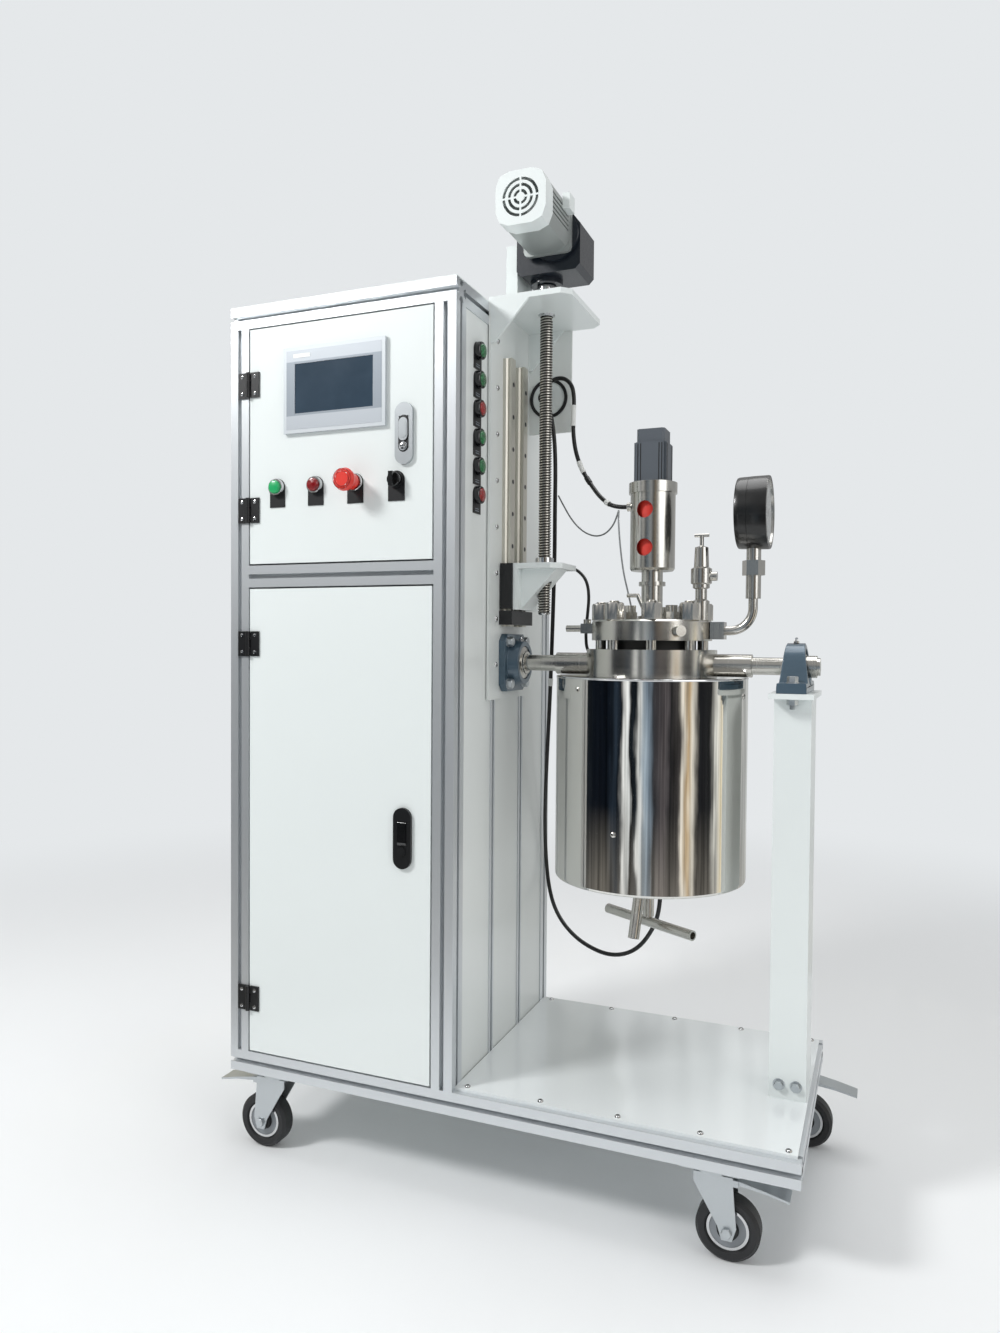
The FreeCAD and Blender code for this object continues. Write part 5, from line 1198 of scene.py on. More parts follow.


# Up to this X each cable runs beside the frame. Cables.bend reads it, but nothing uses the result.
HELD_RUN = {"drive_cable": 0.068, "heater_cable": 0.068}
ROUTES = (
    Route(
        "drive_cable", CABLE, 0.004, 0.421,
        (
            (5, 0, 1), (10, -26, 9), (27, -36, 23), (52, -38, 25), (70, -38, 10), (75, -38, -17),
            (73, -38, -53), (74, -39, -91), (81, -41, -127), (96, -45, -161), (118, -58, -191),
            (141, -77, -217), (173, -102, -240),
        ),
        ((0.1777, MIDDLE, 1.2055),),
    ),
    Route(
        "heater_cable", CABLE, 0.004, 1.519,
        (
            (-5, 0, -4), (7, -27, -11), (23, -39, -27), (31, -40, -57), (35, -36, -95),
            (36, -32, -150), (35, -31, -225), (33, -24, -315), (26, -10, -415), (17, 8, -515),
            (7, 28, -610), (-4, 48, -700), (-15, 70, -785), (-24, 92, -865), (-27, 108, -940),
            (-20, 108, -1005), (2, 86, -1047), (38, 60, -1077), (85, 35, -1097),
            (146, 9, -1104), (202, -16, -1079), (241, -38, -1025),
        ),
        ((0.236, 0.073, 0.4717), (0.236, 0.073, 0.5237)),
    ),
    Route(
        "short_cable", CABLE, 0.003, 0.240,
        (
            (39, -20, -346), (61, -22, -339), (83, -28, -347), (103, -37, -367),
            (111, -46, -397), (110, -52, -433), (106, -51, -468),
        ),
        (
            by_vessel(0.1453, 160, 0.939),
            by_vessel(0.1248, 160, 0.927),
        ),
    ),
    Route(
        "probe_lead", LEAD, 0.0015, 0.410,
        (
            (42, -31, -201), (58, -33, -230), (77, -38, -257), (101, -48, -277),
            (127, -62, -287), (151, -78, -285), (171, -94, -271), (183, -108, -251),
            (189, -124, -247), (192, -138, -265), (195, -142, -295), (199, -143, -330),
            (204, -142, -365), (211, -139, -395),
        ),
        (
            by_vessel(0.04601, 230, 1.0253),
        ),
    ),
)


@dataclass
class Cables:
    """The four free cables, with the tape and ties on them.

    Args:
        made: The pieces that exist so far.
        lines: Each cable's middle line, once it is made.
    """

    made: list[bpy.types.Object] = field(default_factory=list)
    lines: dict[str, list[Vector]] = field(default_factory=dict)

    def line(self, route: Route) -> list[Vector]:
        """A cable's middle line, read from its own smooth curve.

        Args:
            route: The cable.

        Returns:
            Points close together along it.
        """
        curve = bpy.data.curves.new(f"{route.name}_line", "CURVE")
        curve.dimensions = "3D"
        curve.resolution_u = 12
        spline = curve.splines.new("NURBS")
        points = route.points()
        spline.points.add(len(points) - 1)
        for target, point in zip(spline.points, points):
            target.co = (*point, 1.0)
        spline.order_u = 3
        spline.use_endpoint_u = True
        holder = bpy.data.objects.new(f"{route.name}_line", curve)
        mesh = bpy.data.meshes.new_from_object(holder)
        line = [vertex.co.copy() for vertex in mesh.vertices]
        bpy.data.objects.remove(holder)
        bpy.data.curves.remove(curve)
        bpy.data.meshes.remove(mesh)
        return line

    def bend(self, piece: bpy.types.Object, cable: str) -> None:
        """Bakes a piece's placement into its mesh. It does not make the piece bend with its cable.

        Args:
            piece: The cable or something around it.
            cable: The cable.
        """
        start, end = self.lines[cable][0], self.lines[cable][-1]
        if cable in HELD_RUN:
            start = Vector((HELD_RUN[cable], end.y, end.z))
        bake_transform(piece)

    def build(self) -> None:
        for route in ROUTES:
            line = self.line(route)
            self.lines[route.name] = line
            points, faces = swept(line, route.radius, 16)
            piece = mesh_object(f"{route.name}_flex", points, faces, route.finish, None, 60.0)
            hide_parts(route.name)
            self.bend(piece, route.name)
            self.made.append(piece)
        self.sleeves()

    def sleeve(
        self, name: str, cable: str, start: float, end: float, finish: Finish, thick: float
    ) -> None:
        """Wraps a stretch of a cable.

        Args:
            name: The piece's name.
            cable: The cable.
            start: Where the stretch starts, as a share of the cable.
            end: Where it ends.
            finish: Its surface.
            thick: How far it stands off the cable.
        """
        line = self.lines[cable]
        radius = next(route.radius for route in ROUTES if route.name == cable)
        low = int(start * (len(line) - 1))
        high = max(low + 2, int(end * (len(line) - 1)))
        stretch = line[low : high + 1]
        points, faces = swept(stretch, radius + thick, 16)
        piece = mesh_object(name, points, faces, finish, None, 60.0)
        self.bend(piece, cable)
        self.made.append(piece)

    def sleeves(self) -> None:
        """Adds the white tape and the black ties that the photograph shows."""
        self.sleeve("tape_upper", "drive_cable", 0.41, 0.5, TAPE, 0.0009)
        self.sleeve("tape_lower", "drive_cable", 0.66, 0.72, TAPE, 0.0009)
        self.sleeve("tie_lower", "drive_cable", 0.745, 0.775, CABLE, 0.0012)
        self.sleeve("tie_heater", "heater_cable", 0.41, 0.416, TAPE, 0.0009)
        self.sleeve("tie_housing", "drive_cable", 0.915, 0.93, TAPE, 0.0011)


@dataclass
class Assembly:
    """One sub-assembly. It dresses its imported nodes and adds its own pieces.

    Args:
        nodes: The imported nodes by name.
        made: The pieces that it has made so far.
    """

    nodes: dict[str, CadNode]
    made: list[bpy.types.Object] = field(default_factory=list)

    def build(self) -> None:
        """Dresses the sub-assembly."""

    def wear(self, finish: Finish, *names: str) -> None:
        """Gives whole nodes one finish."""
        for name in names:
            self.nodes[name].wear(finish)

    def split(self, name: str, *rules: tuple[str, Finish, Fits], soft: float = 0.0) -> None:
        """Stands a piece for each group of a node's solids, by CadNode.split's rules."""
        self.made += self.nodes[name].split(rules, soft)

    def end(self, form: Form, node: str | None = None) -> None:
        """Ends a form as a piece, in place of a node where one is named."""
        piece = form.build()
        if node:
            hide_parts(node)
        self.made.append(piece)

    def spun(
        self,
        name: str,
        finish: Finish,
        body: str,
        profile: Sequence[tuple[float, float]],
        at: Point,
        axis: str = "Z",
        steps: int = 40,
    ) -> None:
        """Adds a piece that is one turned profile, with what Form and Form.turned ask for."""
        form = Form(name, finish, body)
        form.turned(profile, at, axis, steps)
        self.end(form)


@dataclass
class Frame(Assembly):
    """The extrusions, panels, deck, column and their screws.

    Args:
        deck: The deck plate's upper face.
        inset: From the deck's long edges to its screws.
        deck_step: From one of them to the next.
        head: The radius of a screw head there.
        flats: A bearing bolt's width across flats.
        washer: The thickness of its washer.
        flange_half: Half the distance between the flange bearing's bolts.
        pillow_half: Half the distance between the pillow block's bolts.
        shelf: The thickness of the column's shelf plate.
        slot_half: Half the height of a slot plug.
    """

    deck: float = GROUND + 0.045
    inset: float = 0.022
    deck_step: float = 0.1325
    head: float = 0.0052
    flats: float = 0.0158
    washer: float = 0.0016
    flange_half: float = 0.03905
    pillow_half: float = 0.0605
    shelf: float = 0.009
    slot_half: float = 0.004

    def build(self) -> None:
        """Dresses the frame and adds its screws, bolts and plugs."""
        self.wear(ANODISED, "frame_profiles")
        self.wear(WHITE_SHEET, "deck_plate")
        self.wear(WHITE_PAINT, "column")
        # The panels on the right side take the darker grey, painted shade.
        self.split(
            "cabinet_panels",
            ("panel_strips", GREY_PANEL, lambda low, high: low.x > -0.1),
            ("panel_cover", WHITE_PAINT, lambda low, high: low.z > 1.5),
            ("panel_others", WHITE_PAINT, rest),
        )
        heads = Form("screw_heads", CHROME, FRAME_BODY)
        for y in (FRONT + self.inset, BACK - self.inset):
            for index in range(5):
                x = SIDE + 0.02 + self.deck_step * index
                heads.socket_head((x, y, self.deck), self.head)
        for index in range(8):
            z = GROUND + 0.702 + 0.718 * (index * 0.118 + 0.09)
            heads.socket_head((LIFT_FACE, FRONT + 0.171, z), self.head, "X")
        self.end(heads, "frame_screws")
        self.bolts()
        plugs = Form("slot_plugs", BLACK_PLASTIC, FRAME_BODY)
        middle = GROUND + 0.020
        for y in (FRONT + 0.02, BACK - 0.02):
            for x in (-END_X, END_X):
                low = (x - 0.0005, y - 0.006, middle - self.slot_half)
                plugs.block(low, (x + 0.0005, y + 0.006, middle + self.slot_half), 0.0004)
        self.end(plugs)

    def bolts(self) -> None:
        """Adds the bolts of both bearings and of the column's foot."""
        bolts = Form("bearing_bolts", ZINC, FRAME_BODY)
        plate = LIFT_FACE + 0.013
        for sign_y in (-1, 1):
            for sign_z in (-1, 1):
                y = MIDDLE + self.flange_half * sign_y
                z = TRUNNION + self.flange_half * sign_z
                washer = [(0.0098, 0), (0.0098, self.washer), (0.0, self.washer)]
                bolts.turned(washer, (plate, y, z), "X", 28)
                bolts.hexagon((plate + self.washer, y, z), self.flats, 0.009, "X")
        x = COLUMN_X + 0.03
        foot = TRUNNION - 0.0429
        under = foot - self.shelf
        for sign in (-1, 1):
            y = MIDDLE + self.pillow_half * sign
            washer = [(0.0105, 0), (0.0105, 0.0018), (0, 0.0018)]
            bolts.turned(washer, (x, y, foot + 0.017), "Z", 28)
            bolts.hexagon((x, y, foot + 0.0188), self.flats, 0.0095)
            bolts.hexagon((x, y, under - 0.010), self.flats, 0.010)
            bolts.turned(thread_profile(0.0047, 0.008, 0.00125), (x, y, under - 0.018), "Z", 20)
        face = MIDDLE - 0.05
        for share in (0.27, 0.73):
            x, z = COLUMN_X + 0.06 * share, self.deck + 0.024
            washer = [(0.0, 0.0), (0.0098, 0), (0.0098, self.washer)]
            bolts.turned(washer, (x, face - self.washer, z), "Y", 28)
            head = [(0.0, 0.0), (0.0072, 0.0), (0.0078, 0.001), (0.0078, 0.007)]
            bolts.turned(head, (x, face - 0.0085, z), "Y", 6)
        self.end(bolts, "frame_screws")


@dataclass
class Doors(Assembly):
    """The doors with their hinges and latches, and the operator panel.

    Args:
        latch_x: The upper latch's middle line.
        hinge_levels: For each door the heights of its two hinges.
        hinge_half: Half the distance between a hinge's screws.
        screw: The radius of a hinge screw's head.
        panel: The operator panel's left, right, lower and upper edges.
        panel_face: Its front face.
        film: The thickness of the films on it.
        rim: The width of its bare rim.
        ledge: The width of the dim border round the screen.
    """

    latch_x: float = -0.1505
    hinge_levels: tuple[tuple[str, tuple[float, float]], ...] = (
        ("upper_door", (1.426, 1.197)), ("lower_door", (0.952, 0.292)),
    )
    hinge_half: float = 0.0155
    screw: float = 0.0036
    panel: tuple[float, float, float, float] = (-0.394, -0.186, 1.330, 1.483)
    panel_face: float = FRONT - 0.007
    film: float = 0.0003
    rim: float = 0.0065
    ledge: float = 0.004

    def build(self) -> None:
        """Dresses the doors and adds what they carry."""
        for name, latch in (("upper_door", DIE_CAST), ("lower_door", BLACK_PLASTIC)):
            self.split(
                name,
                (f"{name}_leaves", BLACK_PLASTIC, lambda low, high: high.x < -0.43),
                (f"{name}_latch", latch, lambda low, high: high.x - low.x < 0.05),
                (f"{name}_pan", WHITE_PAINT, rest),
            )
        self.wear(BLACK_PLASTIC, "hinge_leaves")
        self.latch()
        self.wear(BLACK_GLOSS, "lower_latch_handle")
        for body, levels in self.hinge_levels:
            screws = Form(f"{body}_hinge_screws", CHROME, body)
            fixed = Form(f"{body}_post_screws", CHROME, FRAME_BODY)
            for level in levels:
                for z in (level - self.hinge_half, level + self.hinge_half):
                    screws.front_head((-0.4595, FRONT - 0.003, z), self.screw)
                    fixed.front_head((-0.4875, FRONT - 0.003, z), self.screw)
            self.end(screws)
            self.end(fixed)
        self.screen()

    def latch(self) -> None:
        """Adds the upper latch's lever, a thin black sheet round it that paints the shade of its
        recess, and its lock.
        """
        x = self.latch_x
        lever = Form("latch_lever", DIE_CAST, "upper_latch_handle")
        lever.prism(stadium(0.0085, -0.021, 0.0185), (x, -0.2252, 1.322), "Y", 0.0014)
        lever.prism(stadium(0.0062, -0.0165, 0.0140), (x, -0.2259, 1.322), "Y", 0.0008)
        self.end(lever, "upper_latch_handle")
        # A thin black sheet behind and round the lever: painted shade for the gap of the latch's
        # recess.
        recess = Form("latch_recess", BLACK_PLASTIC, "upper_door")
        recess.prism(stadium(0.0098, -0.0315, 0.0315), (x, -0.2233, 1.3135), "Y", 0.0003)
        self.end(recess)
        barrel = [
            (0.0, -0.0028), (0.0035, -0.0026), (0.0056, -0.0014), (0.0062, 0.0), (0.0062, 0.0012),
        ]
        self.spun("latch_lock", CHROME, "upper_door", barrel, (x, -0.2254, 1.2925), "Y")

    def screen(self) -> None:
        """Adds the operator panel's films, its display and its bare bar."""
        self.wear(PANEL_CASE, "hmi_panel")
        x0, x1, z0, z1 = self.panel
        y, rim, ledge = self.panel_face, self.rim, self.ledge
        gx0, gx1, gz0, gz1 = x0 + 0.024, x1 - 0.024, z0 + 0.0348, z1 - 0.030
        film = Form("screen_film", SILVER_FILM, "upper_door")
        dim = Form("screen_flanks", DIM_FILM, "upper_door")
        for form, left, right, low, high in (
            (film, x0 + rim, x1 - rim, gz1 + ledge, z1 - rim),
            (film, x0 + rim, x1 - rim, z0 + rim, gz0 - ledge),
            (dim, x0 + rim, gx0, gz0 - ledge, gz1 + ledge),
            (dim, gx1, x1 - rim, gz0 - ledge, gz1 + ledge),
            (dim, gx0, gx1, gz1, gz1 + ledge),
            (dim, gx0, gx1, gz0 - ledge, gz0),
        ):
            form.block((left, y - self.film, low), (right, y, high))
        self.end(film)
        self.end(dim)
        gap = 0.0002
        pane = Form("display_pane", SCREEN, "upper_door")
        pane.block((gx0 + gap, y + 0.0004, gz0 + gap), (gx1 - gap, y + 0.0007, gz1 - gap))
        self.end(pane)
        bar = Form("screen_bare_bar", DIAL, "upper_door")
        bar.block(
            (x0 + 0.021, y - 0.0006, z1 - 0.0195), (x0 + 0.056, y - self.film, z1 - 0.0125)
        )
        self.end(bar)


@dataclass
class Controls(Assembly):
    """Push buttons, stop mushroom, selector and their plates.

    Args:
        front_cap: A front button's domed cap, as radii and depths from its front.
        side_cap: A side button's cap, the other way round.
        collar_front: How far the first three collars stand proud of the plates.
        side_ring: A side button's collar.
        stop_face: The stop mushroom's front.
        stop_radii: The radii of the fine rings on it.
    """

    front_cap: Sequence[tuple[float, float]] = (
        (0.0, -0.0012), (0.0060, -0.0009), (0.0100, 0.0001), (0.0116, 0.0018),
        (0.0119, 0.0036), (0.0119, 0.0052), (0.0, 0.0052),
    )
    side_cap: Sequence[tuple[float, float]] = (
        (0.0, -0.0052), (0.0119, -0.0052), (0.0119, -0.0030), (0.0114, -0.0016),
        (0.0098, 0.0), (0.0060, 0.0010), (0.0, 0.0013),
    )
    collar_front: tuple[float, float, float] = (0.0042, 0.0042, 0.0022)
    side_ring: Sequence[tuple[float, float]] = (
        (0.0122, -0.0015), (0.0158, -0.0015), (0.0160, 0.0035), (0.0154, 0.0064),
        (0.0142, 0.0076), (0.0130, 0.0078), (0.0122, 0.0070), (0.0122, -0.0015),
    )
    stop_face: float = -0.263
    stop_radii: tuple[float, float] = (0.0173, 0.0128)

    def build(self) -> None:
        """Dresses the controls and adds caps, collars and rings."""
        self.wear(BLACK_PLASTIC, "front_bezels", "side_bezels")
        for name, finish in (("green_button", GREEN_CAP), ("red_button", DARK_RED)):
            self.wear(finish, name)
            low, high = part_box(name)
            at = ((low[0] + high[0]) / 2, low[1], (low[2] + high[2]) / 2)
            self.spun(f"{name}_cap", finish, name, self.front_cap, at, "Y", 48)
        self.wear(RED_CAP, "stop_button")
        self.wear(BLACK_GLOSS, "selector_switch")
        for index, finish in enumerate((GREEN, GREEN, RED, GREEN, GREEN, RED), start=1):
            name = f"side_button_{index}"
            self.wear(finish, name)
            low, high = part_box(name)
            at = (high[0], (low[1] + high[1]) / 2, (low[2] + high[2]) / 2)
            self.spun(f"side_cap_{index}", finish, name, self.side_cap, at, "X", 44)
        self.rings()

    def rings(self) -> None:
        """Adds the collars, the lines on the side labels, and the stop mushroom's rings, whose
        darker red paints the shade of its grooves.
        """
        collars = Form("front_collars", CHROME, "upper_door")
        for x, proud in zip(CONTROL_X[:3], self.collar_front):
            profile = [
                (0.0122, -proud), (0.0139, -proud), (0.0149, 0.0008 - proud), (0.0153, 0.0),
                (0.0153, 0.0036), (0.0122, 0.0036),
            ]
            collars.turned(profile, (x, FRONT - 0.0055, CONTROL_Z), "Y", 48)
        self.end(collars)
        lines = Form("side_label_lines", DIM_FILM, FRAME_BODY)
        rings = Form("side_collars", BLACK_GLOSS, FRAME_BODY)
        x, y = SIDE - 0.0005, SIDE_CONTROL_Y
        for z in SIDE_CONTROL_Z:
            for low, high in ((-0.0285, -0.0268), (-0.0245, -0.0232)):
                lines.block((x, y - 0.008, z + low), (x + 0.0003, y + 0.008, z + high))
            rings.turned(self.side_ring, (SIDE + 0.002, y, z), "X", 40)
        self.end(lines)
        self.end(rings)
        # Fine raised rings in a darker red on the mushroom's face: painted shade for its grooves.
        face = Form("stop_rings", RED, "stop_button")
        for radius in self.stop_radii:
            profile = [
                (radius - 0.0007, 0.0004), (radius - 0.0004, -0.0002), (radius + 0.0004, -0.0002),
                (radius + 0.0007, 0.0004), (radius - 0.0007, 0.0004),
            ]
            face.turned(profile, (CONTROL_X[2], self.stop_face, CONTROL_Z), "Y", 56)
        self.end(face)


@dataclass
class Lift(Assembly):
    """The lift plate, bracket, rails, carriage and screw.

    Args:
        rail_half: Half the distance between the guide rails.
        rail_face: How far the rails' fronts stand off the plate.
        holes: How many screw holes each rail shows.
        hole_step: From one hole to the next.
        pitch: The screw's pitch.
        thread: The thread's lower and upper end.
        crest: Its outer radius.
        root: Its root's radius.
        steps: How many steps make one turn.
    """

    rail_half: float = 0.032
    rail_face: float = 0.0175
    holes: int = 8
    hole_step: float = 0.06
    pitch: float = 0.005
    thread: tuple[float, float] = (1.0125, 1.5665)
    crest: float = 0.01185
    root: float = 0.0098
    steps: int = 28

    def build(self) -> None:
        """Dresses the lift and adds its bushing, black discs that paint the shade in the rail holes,
        and its thread.
        """
        # The lift sheet faces right and takes the darker grey, painted shade.
        self.split(
            "lift_plate",
            ("lift_sheet", GREY_PANEL, lambda low, high: high.z - low.z > 0.1),
            ("cable_bushing", BLACK_PLASTIC, rest),
        )
        profile = [(0.0, 0.0), (0.0328, 0.0), (0.0328, 0.0006), (0.0, 0.0006)]
        at = (-0.010, 0.1203, 1.441)
        self.spun("bushing_disc", WHITE_PAINT, FRAME_BODY, profile, at, "Y", 64)
        # A black disc in the bushing's middle: painted shade for the open cable hole.
        profile = [(0.0, 0.0), (0.0118, 0.0), (0.0132, 0.0009), (0.0132, 0.0012), (0.0, 0.0012)]
        at = (CABLE_HOLE[0] + 0.002, 0.1189, CABLE_HOLE[2] - 0.001)
        self.spun("bushing_hole", GASKET, FRAME_BODY, profile, at, "Y")
        self.wear(WHITE_PAINT, "top_bracket")
        self.split(
            "guide_rails",
            ("stop_bar", BLACK_PLASTIC, lambda low, high: high.z - low.z < 0.1),
            ("rails", RAIL_STEEL, rest),
        )
        # Black discs on the rails: painted shade in the screw holes.
        holes = Form("rail_holes", BLACK_PLASTIC, FRAME_BODY)
        profile = [(0.0, 0.0), (0.0042, 0.0), (0.0042, 0.0003), (0, 0.0003)]
        for y in (MIDDLE - self.rail_half, MIDDLE + self.rail_half):
            for index in range(self.holes):
                at = (LIFT_FACE + self.rail_face, y, 1.018 + self.hole_step * index)
                holes.turned(profile, at, "X", 20)
        self.end(holes)
        self.split(
            "lift_carriage",
            ("carriage_blocks", BLACK_PLASTIC, lambda low, high: high.x < -0.02),
            ("carriage_nut", CHROME, lambda low, high: high.x - low.x < 0.05),
            ("carriage_bracket", WHITE_PAINT, rest),
        )
        self.screw()

    def screw(self) -> None:
        """Cuts the lead screw's thread and adds its ends.

        Four lines run round the screw and rise by a pitch each turn: at an angle, each lies at
        its radius and at the lower end plus the pitch times the turns so far and its own share.
        Faces join each line to the next, and the last to the first a turn further.
        """
        lines = ((0.0, self.crest), (0.36, self.crest), (0.48, self.root), (0.88, self.root))
        low, high = self.thread
        count = int((high - low) / self.pitch) * self.steps
        turns = np.arange(count + 1) / self.steps
        x, y = np.cos(2 * np.pi * turns), np.sin(2 * np.pi * turns)
        points = []
        for share, radius in lines:
            z = np.minimum(low + self.pitch * (turns + share), high)
            points.append(np.stack([SCREW_X + radius * x, MIDDLE + radius * y, z], axis=1))
        vertices = np.concatenate(points)

        def band(lower: int, upper: int, shift: int = 0) -> np.ndarray:
            """Faces between two of the thread's lines, one a turn further where it is shifted."""
            taken = np.arange(count - shift)
            a = lower * (count + 1) + taken
            b = upper * (count + 1) + taken + shift
            return np.stack([a, a + 1, b + 1, b], axis=1)

        # The roots take the dark finish, which is painted shade between the crests.
        roots = np.concatenate([band(1, 2), band(2, 3), band(3, 0, self.steps)])
        for name, faces, finish in (
            ("screw_crests", band(0, 1), SCREW_STEEL),
            ("screw_roots", roots, SHADED_THREAD_ROOT),
        ):
            used, place = np.unique(faces, return_inverse=True)
            numbered = place.reshape(faces.shape).tolist()
            piece = mesh_object(name, vertices[used], numbered, finish, "lead_screw", 50.0)
            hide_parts("lead_screw")
            self.made.append(piece)
        ends = Form("screw_ends", CHROME, "lead_screw")
        foot = [(0, 0), (0.0094, 0), (0.0112, 0.0024), (0.0112, 0.004), (0.0, 0.004)]
        ends.turned(foot, (SCREW_X, MIDDLE, 1.0100), "Z", 40)
        coupling = [
            (0.0118, 1.5665), (0.0118, 1.5698), (0.016, 1.5698), (0.016, 1.5806),
            (0.0175, 1.5806), (0.018, 1.5812), (0.018, 1.597), (0.0166, 1.598), (0.0166, 1.600),
            (0.018, 1.601), (0.018, 1.6212), (0.0168, 1.6223), (0.0083, 1.6223), (0.0083, 1.6225),
            (0.0, 1.6225),
        ]
        ends.turned(coupling, (SCREW_X, MIDDLE, 0.0), "Z", 48)
        self.end(ends, "lead_screw")


@dataclass
class Gearmotor(Assembly):
    """The lift's gearmotor.

    Args:
        gearbox_from: Its gearbox lies behind this Y.
        cover_to: Its fan cover lies in front of this Y.
    """

    gearbox_from: float = 0.0
    cover_to: float = -0.12

    def build(self) -> None:
        """Gives the gearmotor's housings and its fan cover their paint."""
        self.split(
            "lift_gearmotor",
            ("gearbox", GEARBOX_PAINT, lambda low, high: high.y > self.gearbox_from),
            ("fan_cover", WHITE_PAINT, lambda low, high: high.y < self.cover_to),
            ("terminal_knob", WHITE_PAINT, lambda low, high: high.x - low.x < 0.03),
            ("motor_body", MOTOR_GREY, rest),
        )


@dataclass
class Bearings(Assembly):
    """Both bearings, with cast housings and ground inserts.

    Args:
        insert_span: An insert is narrower than this.
        rounding: How far the castings' edges are rounded.
    """

    insert_span: float = 0.07
    rounding: float = 0.0012

    def is_insert(self, low: Vector, high: Vector) -> bool:
        """Whether a solid is narrow enough to be an insert."""
        return high.y - low.y < self.insert_span

    def build(self) -> None:
        """Dresses the bearings and adds their grease nipples."""
        for name in ("flange_bearing", "pillow_block"):
            self.split(
                name,
                (f"{name}_insert", SHAFT_STEEL, self.is_insert),
                (f"{name}_housing", BLUE_CAST, rest),
                soft=self.rounding,
            )
        nipples = Form("grease_nipples", CHROME, FRAME_BODY)
        profile = [
            (0.0045, 0), (0.0045, 0.003), (0.0025, 0.004), (0.002, 0.007), (0.0028, 0.0085),
            (0.0, 0.0105),
        ]
        for x, up in ((COLUMN_X + 0.03, 0.040), (LIFT_FACE + 0.024, 0.041)):
            nipples.turned(profile, (x, MIDDLE, TRUNNION + up), "Z", 16)
        self.end(nipples)


@dataclass
class Vessel(Assembly):
    """The jacket, pot, lid, nuts and shafts.

    Args:
        studs: How many studs hold the lid.
        stud_circle: The radius of their circle.
        first_stud: The first one's angle in degrees.
        jacket: The radius on which the jacket's rivets sit.
        rivets: Their angles and heights.
    """

    studs: int = 8
    stud_circle: float = 0.091
    first_stud: float = 13.0
    jacket: float = 0.1698
    rivets: tuple[tuple[float, float], ...] = ((-123.7, 0.878), (-97.1, 0.640), (-8.6, 0.868))

    def build(self) -> None:
        """Dresses the vessel and adds its nuts, lip and rivets."""
        self.wear(MIRROR_STEEL, "jacket")
        self.split(
            "pot",
            ("lid_gasket", GASKET, lambda low, high: high.z - low.z < 0.02),
            ("pot_shell", TURNED_STEEL, rest),
        )
        self.wear(TURNED_STEEL, "lid")
        self.wear(SHAFT_STEEL, "trunnion_shafts")
        nuts = Form("lid_stud_nuts", SATIN_STEEL, VESSEL_BODY)
        for index in range(self.studs):
            turn = 360 / self.studs * index + self.first_stud
            x, y, _ = by_vessel(self.stud_circle, turn, 0.0)
            nuts.turned([(0.0096, 0.931), (0.0096, 1.0), (0, 1.0)], (x, y, 0.0), "Z", 24)
            nuts.hexagon((x, y, LID_TOP), 0.030, 0.030)
            nuts.turned(thread_profile(0.0088, 0.003, 0.0015), (x, y, LID_TOP + 0.0300), "Z", 24)
        self.end(nuts, "lid_nuts")
        profile = [
            (0.1665, 0.8981), (0.1690, 0.8990), (0.1703, 0.8983), (0.1707, 0.8968),
            (0.1700, 0.8955), (0.1665, 0.8955), (0.1665, 0.8981),
        ]
        axis = (VESSEL_X, MIDDLE, 0.0)
        self.spun("jacket_lip", CHROME, VESSEL_BODY, profile, axis, steps=120)
        trim = Form("jacket_trim", SATIN_STEEL, VESSEL_BODY)
        profile = [(0.0048, 0.0), (0.0045, 0.0014), (0.003, 0.0024), (0.0, 0.0028)]
        for turn, level in self.rivets:
            outward = Matrix.Rotation(math.radians(turn), 4, "Z") @ AXIS_TURN["X"]
            trim.turned(profile, by_vessel(self.jacket, turn, level), "Z", 18, outward)
        self.end(trim)


@dataclass
class Drive(Assembly):
    """The stirrer's drive: housing, motor and the red rotor behind the windows.

    Args:
        half: Half the motor's width.
        grooves: The grooves' distances from its corners.
        groove_half: Half a groove's width.
        proud: How far a groove's dark strip, painted shade for the groove, stands off the face.
        low: The grooves' lower end.
        high: Their upper end.
    """

    half: float = 0.029
    grooves: tuple[float, float] = (0.0075, 0.0125)
    groove_half: float = 0.0009
    proud: float = 0.0002
    low: float = 1.2475
    high: float = 1.3125

    def build(self) -> None:
        """Dresses the drive and adds dark strips that paint the shade in the motor's grooves, and
        the rotor.
        """
        self.wear(TURNED_STEEL, "drive_housing")
        self.wear(MOTOR_BLACK, "drive_motor")
        self.wear(SATIN_STEEL, "stirrer")
        # Black strips on the motor's faces: painted shade where its grooves are.
        form = Form("motor_grooves", BLACK_PLASTIC, VESSEL_BODY)
        thin, wide = self.proud, self.groove_half
        for sign in (-1, 1):
            for inset in self.grooves:
                x = VESSEL_X + sign * (self.half - inset)
                for y in (MIDDLE - self.half - thin, MIDDLE + self.half):
                    form.block((x - wide, y, self.low), (x + wide, y + thin, self.high))
                y = MIDDLE + sign * (self.half - inset)
                for x in (VESSEL_X - self.half - thin, VESSEL_X + self.half):
                    form.block((x, y - wide, self.low), (x + thin, y + wide, self.high))
        self.end(form)
        profile = [(0.029, 1.101), (0.0303, 1.102), (0.0303, 1.220), (0.029, 1.221)]
        axis = (VESSEL_X, MIDDLE, 0.0)
        self.spun("rotor_band", ROTOR_RED, "stirrer", profile, axis, steps=48)


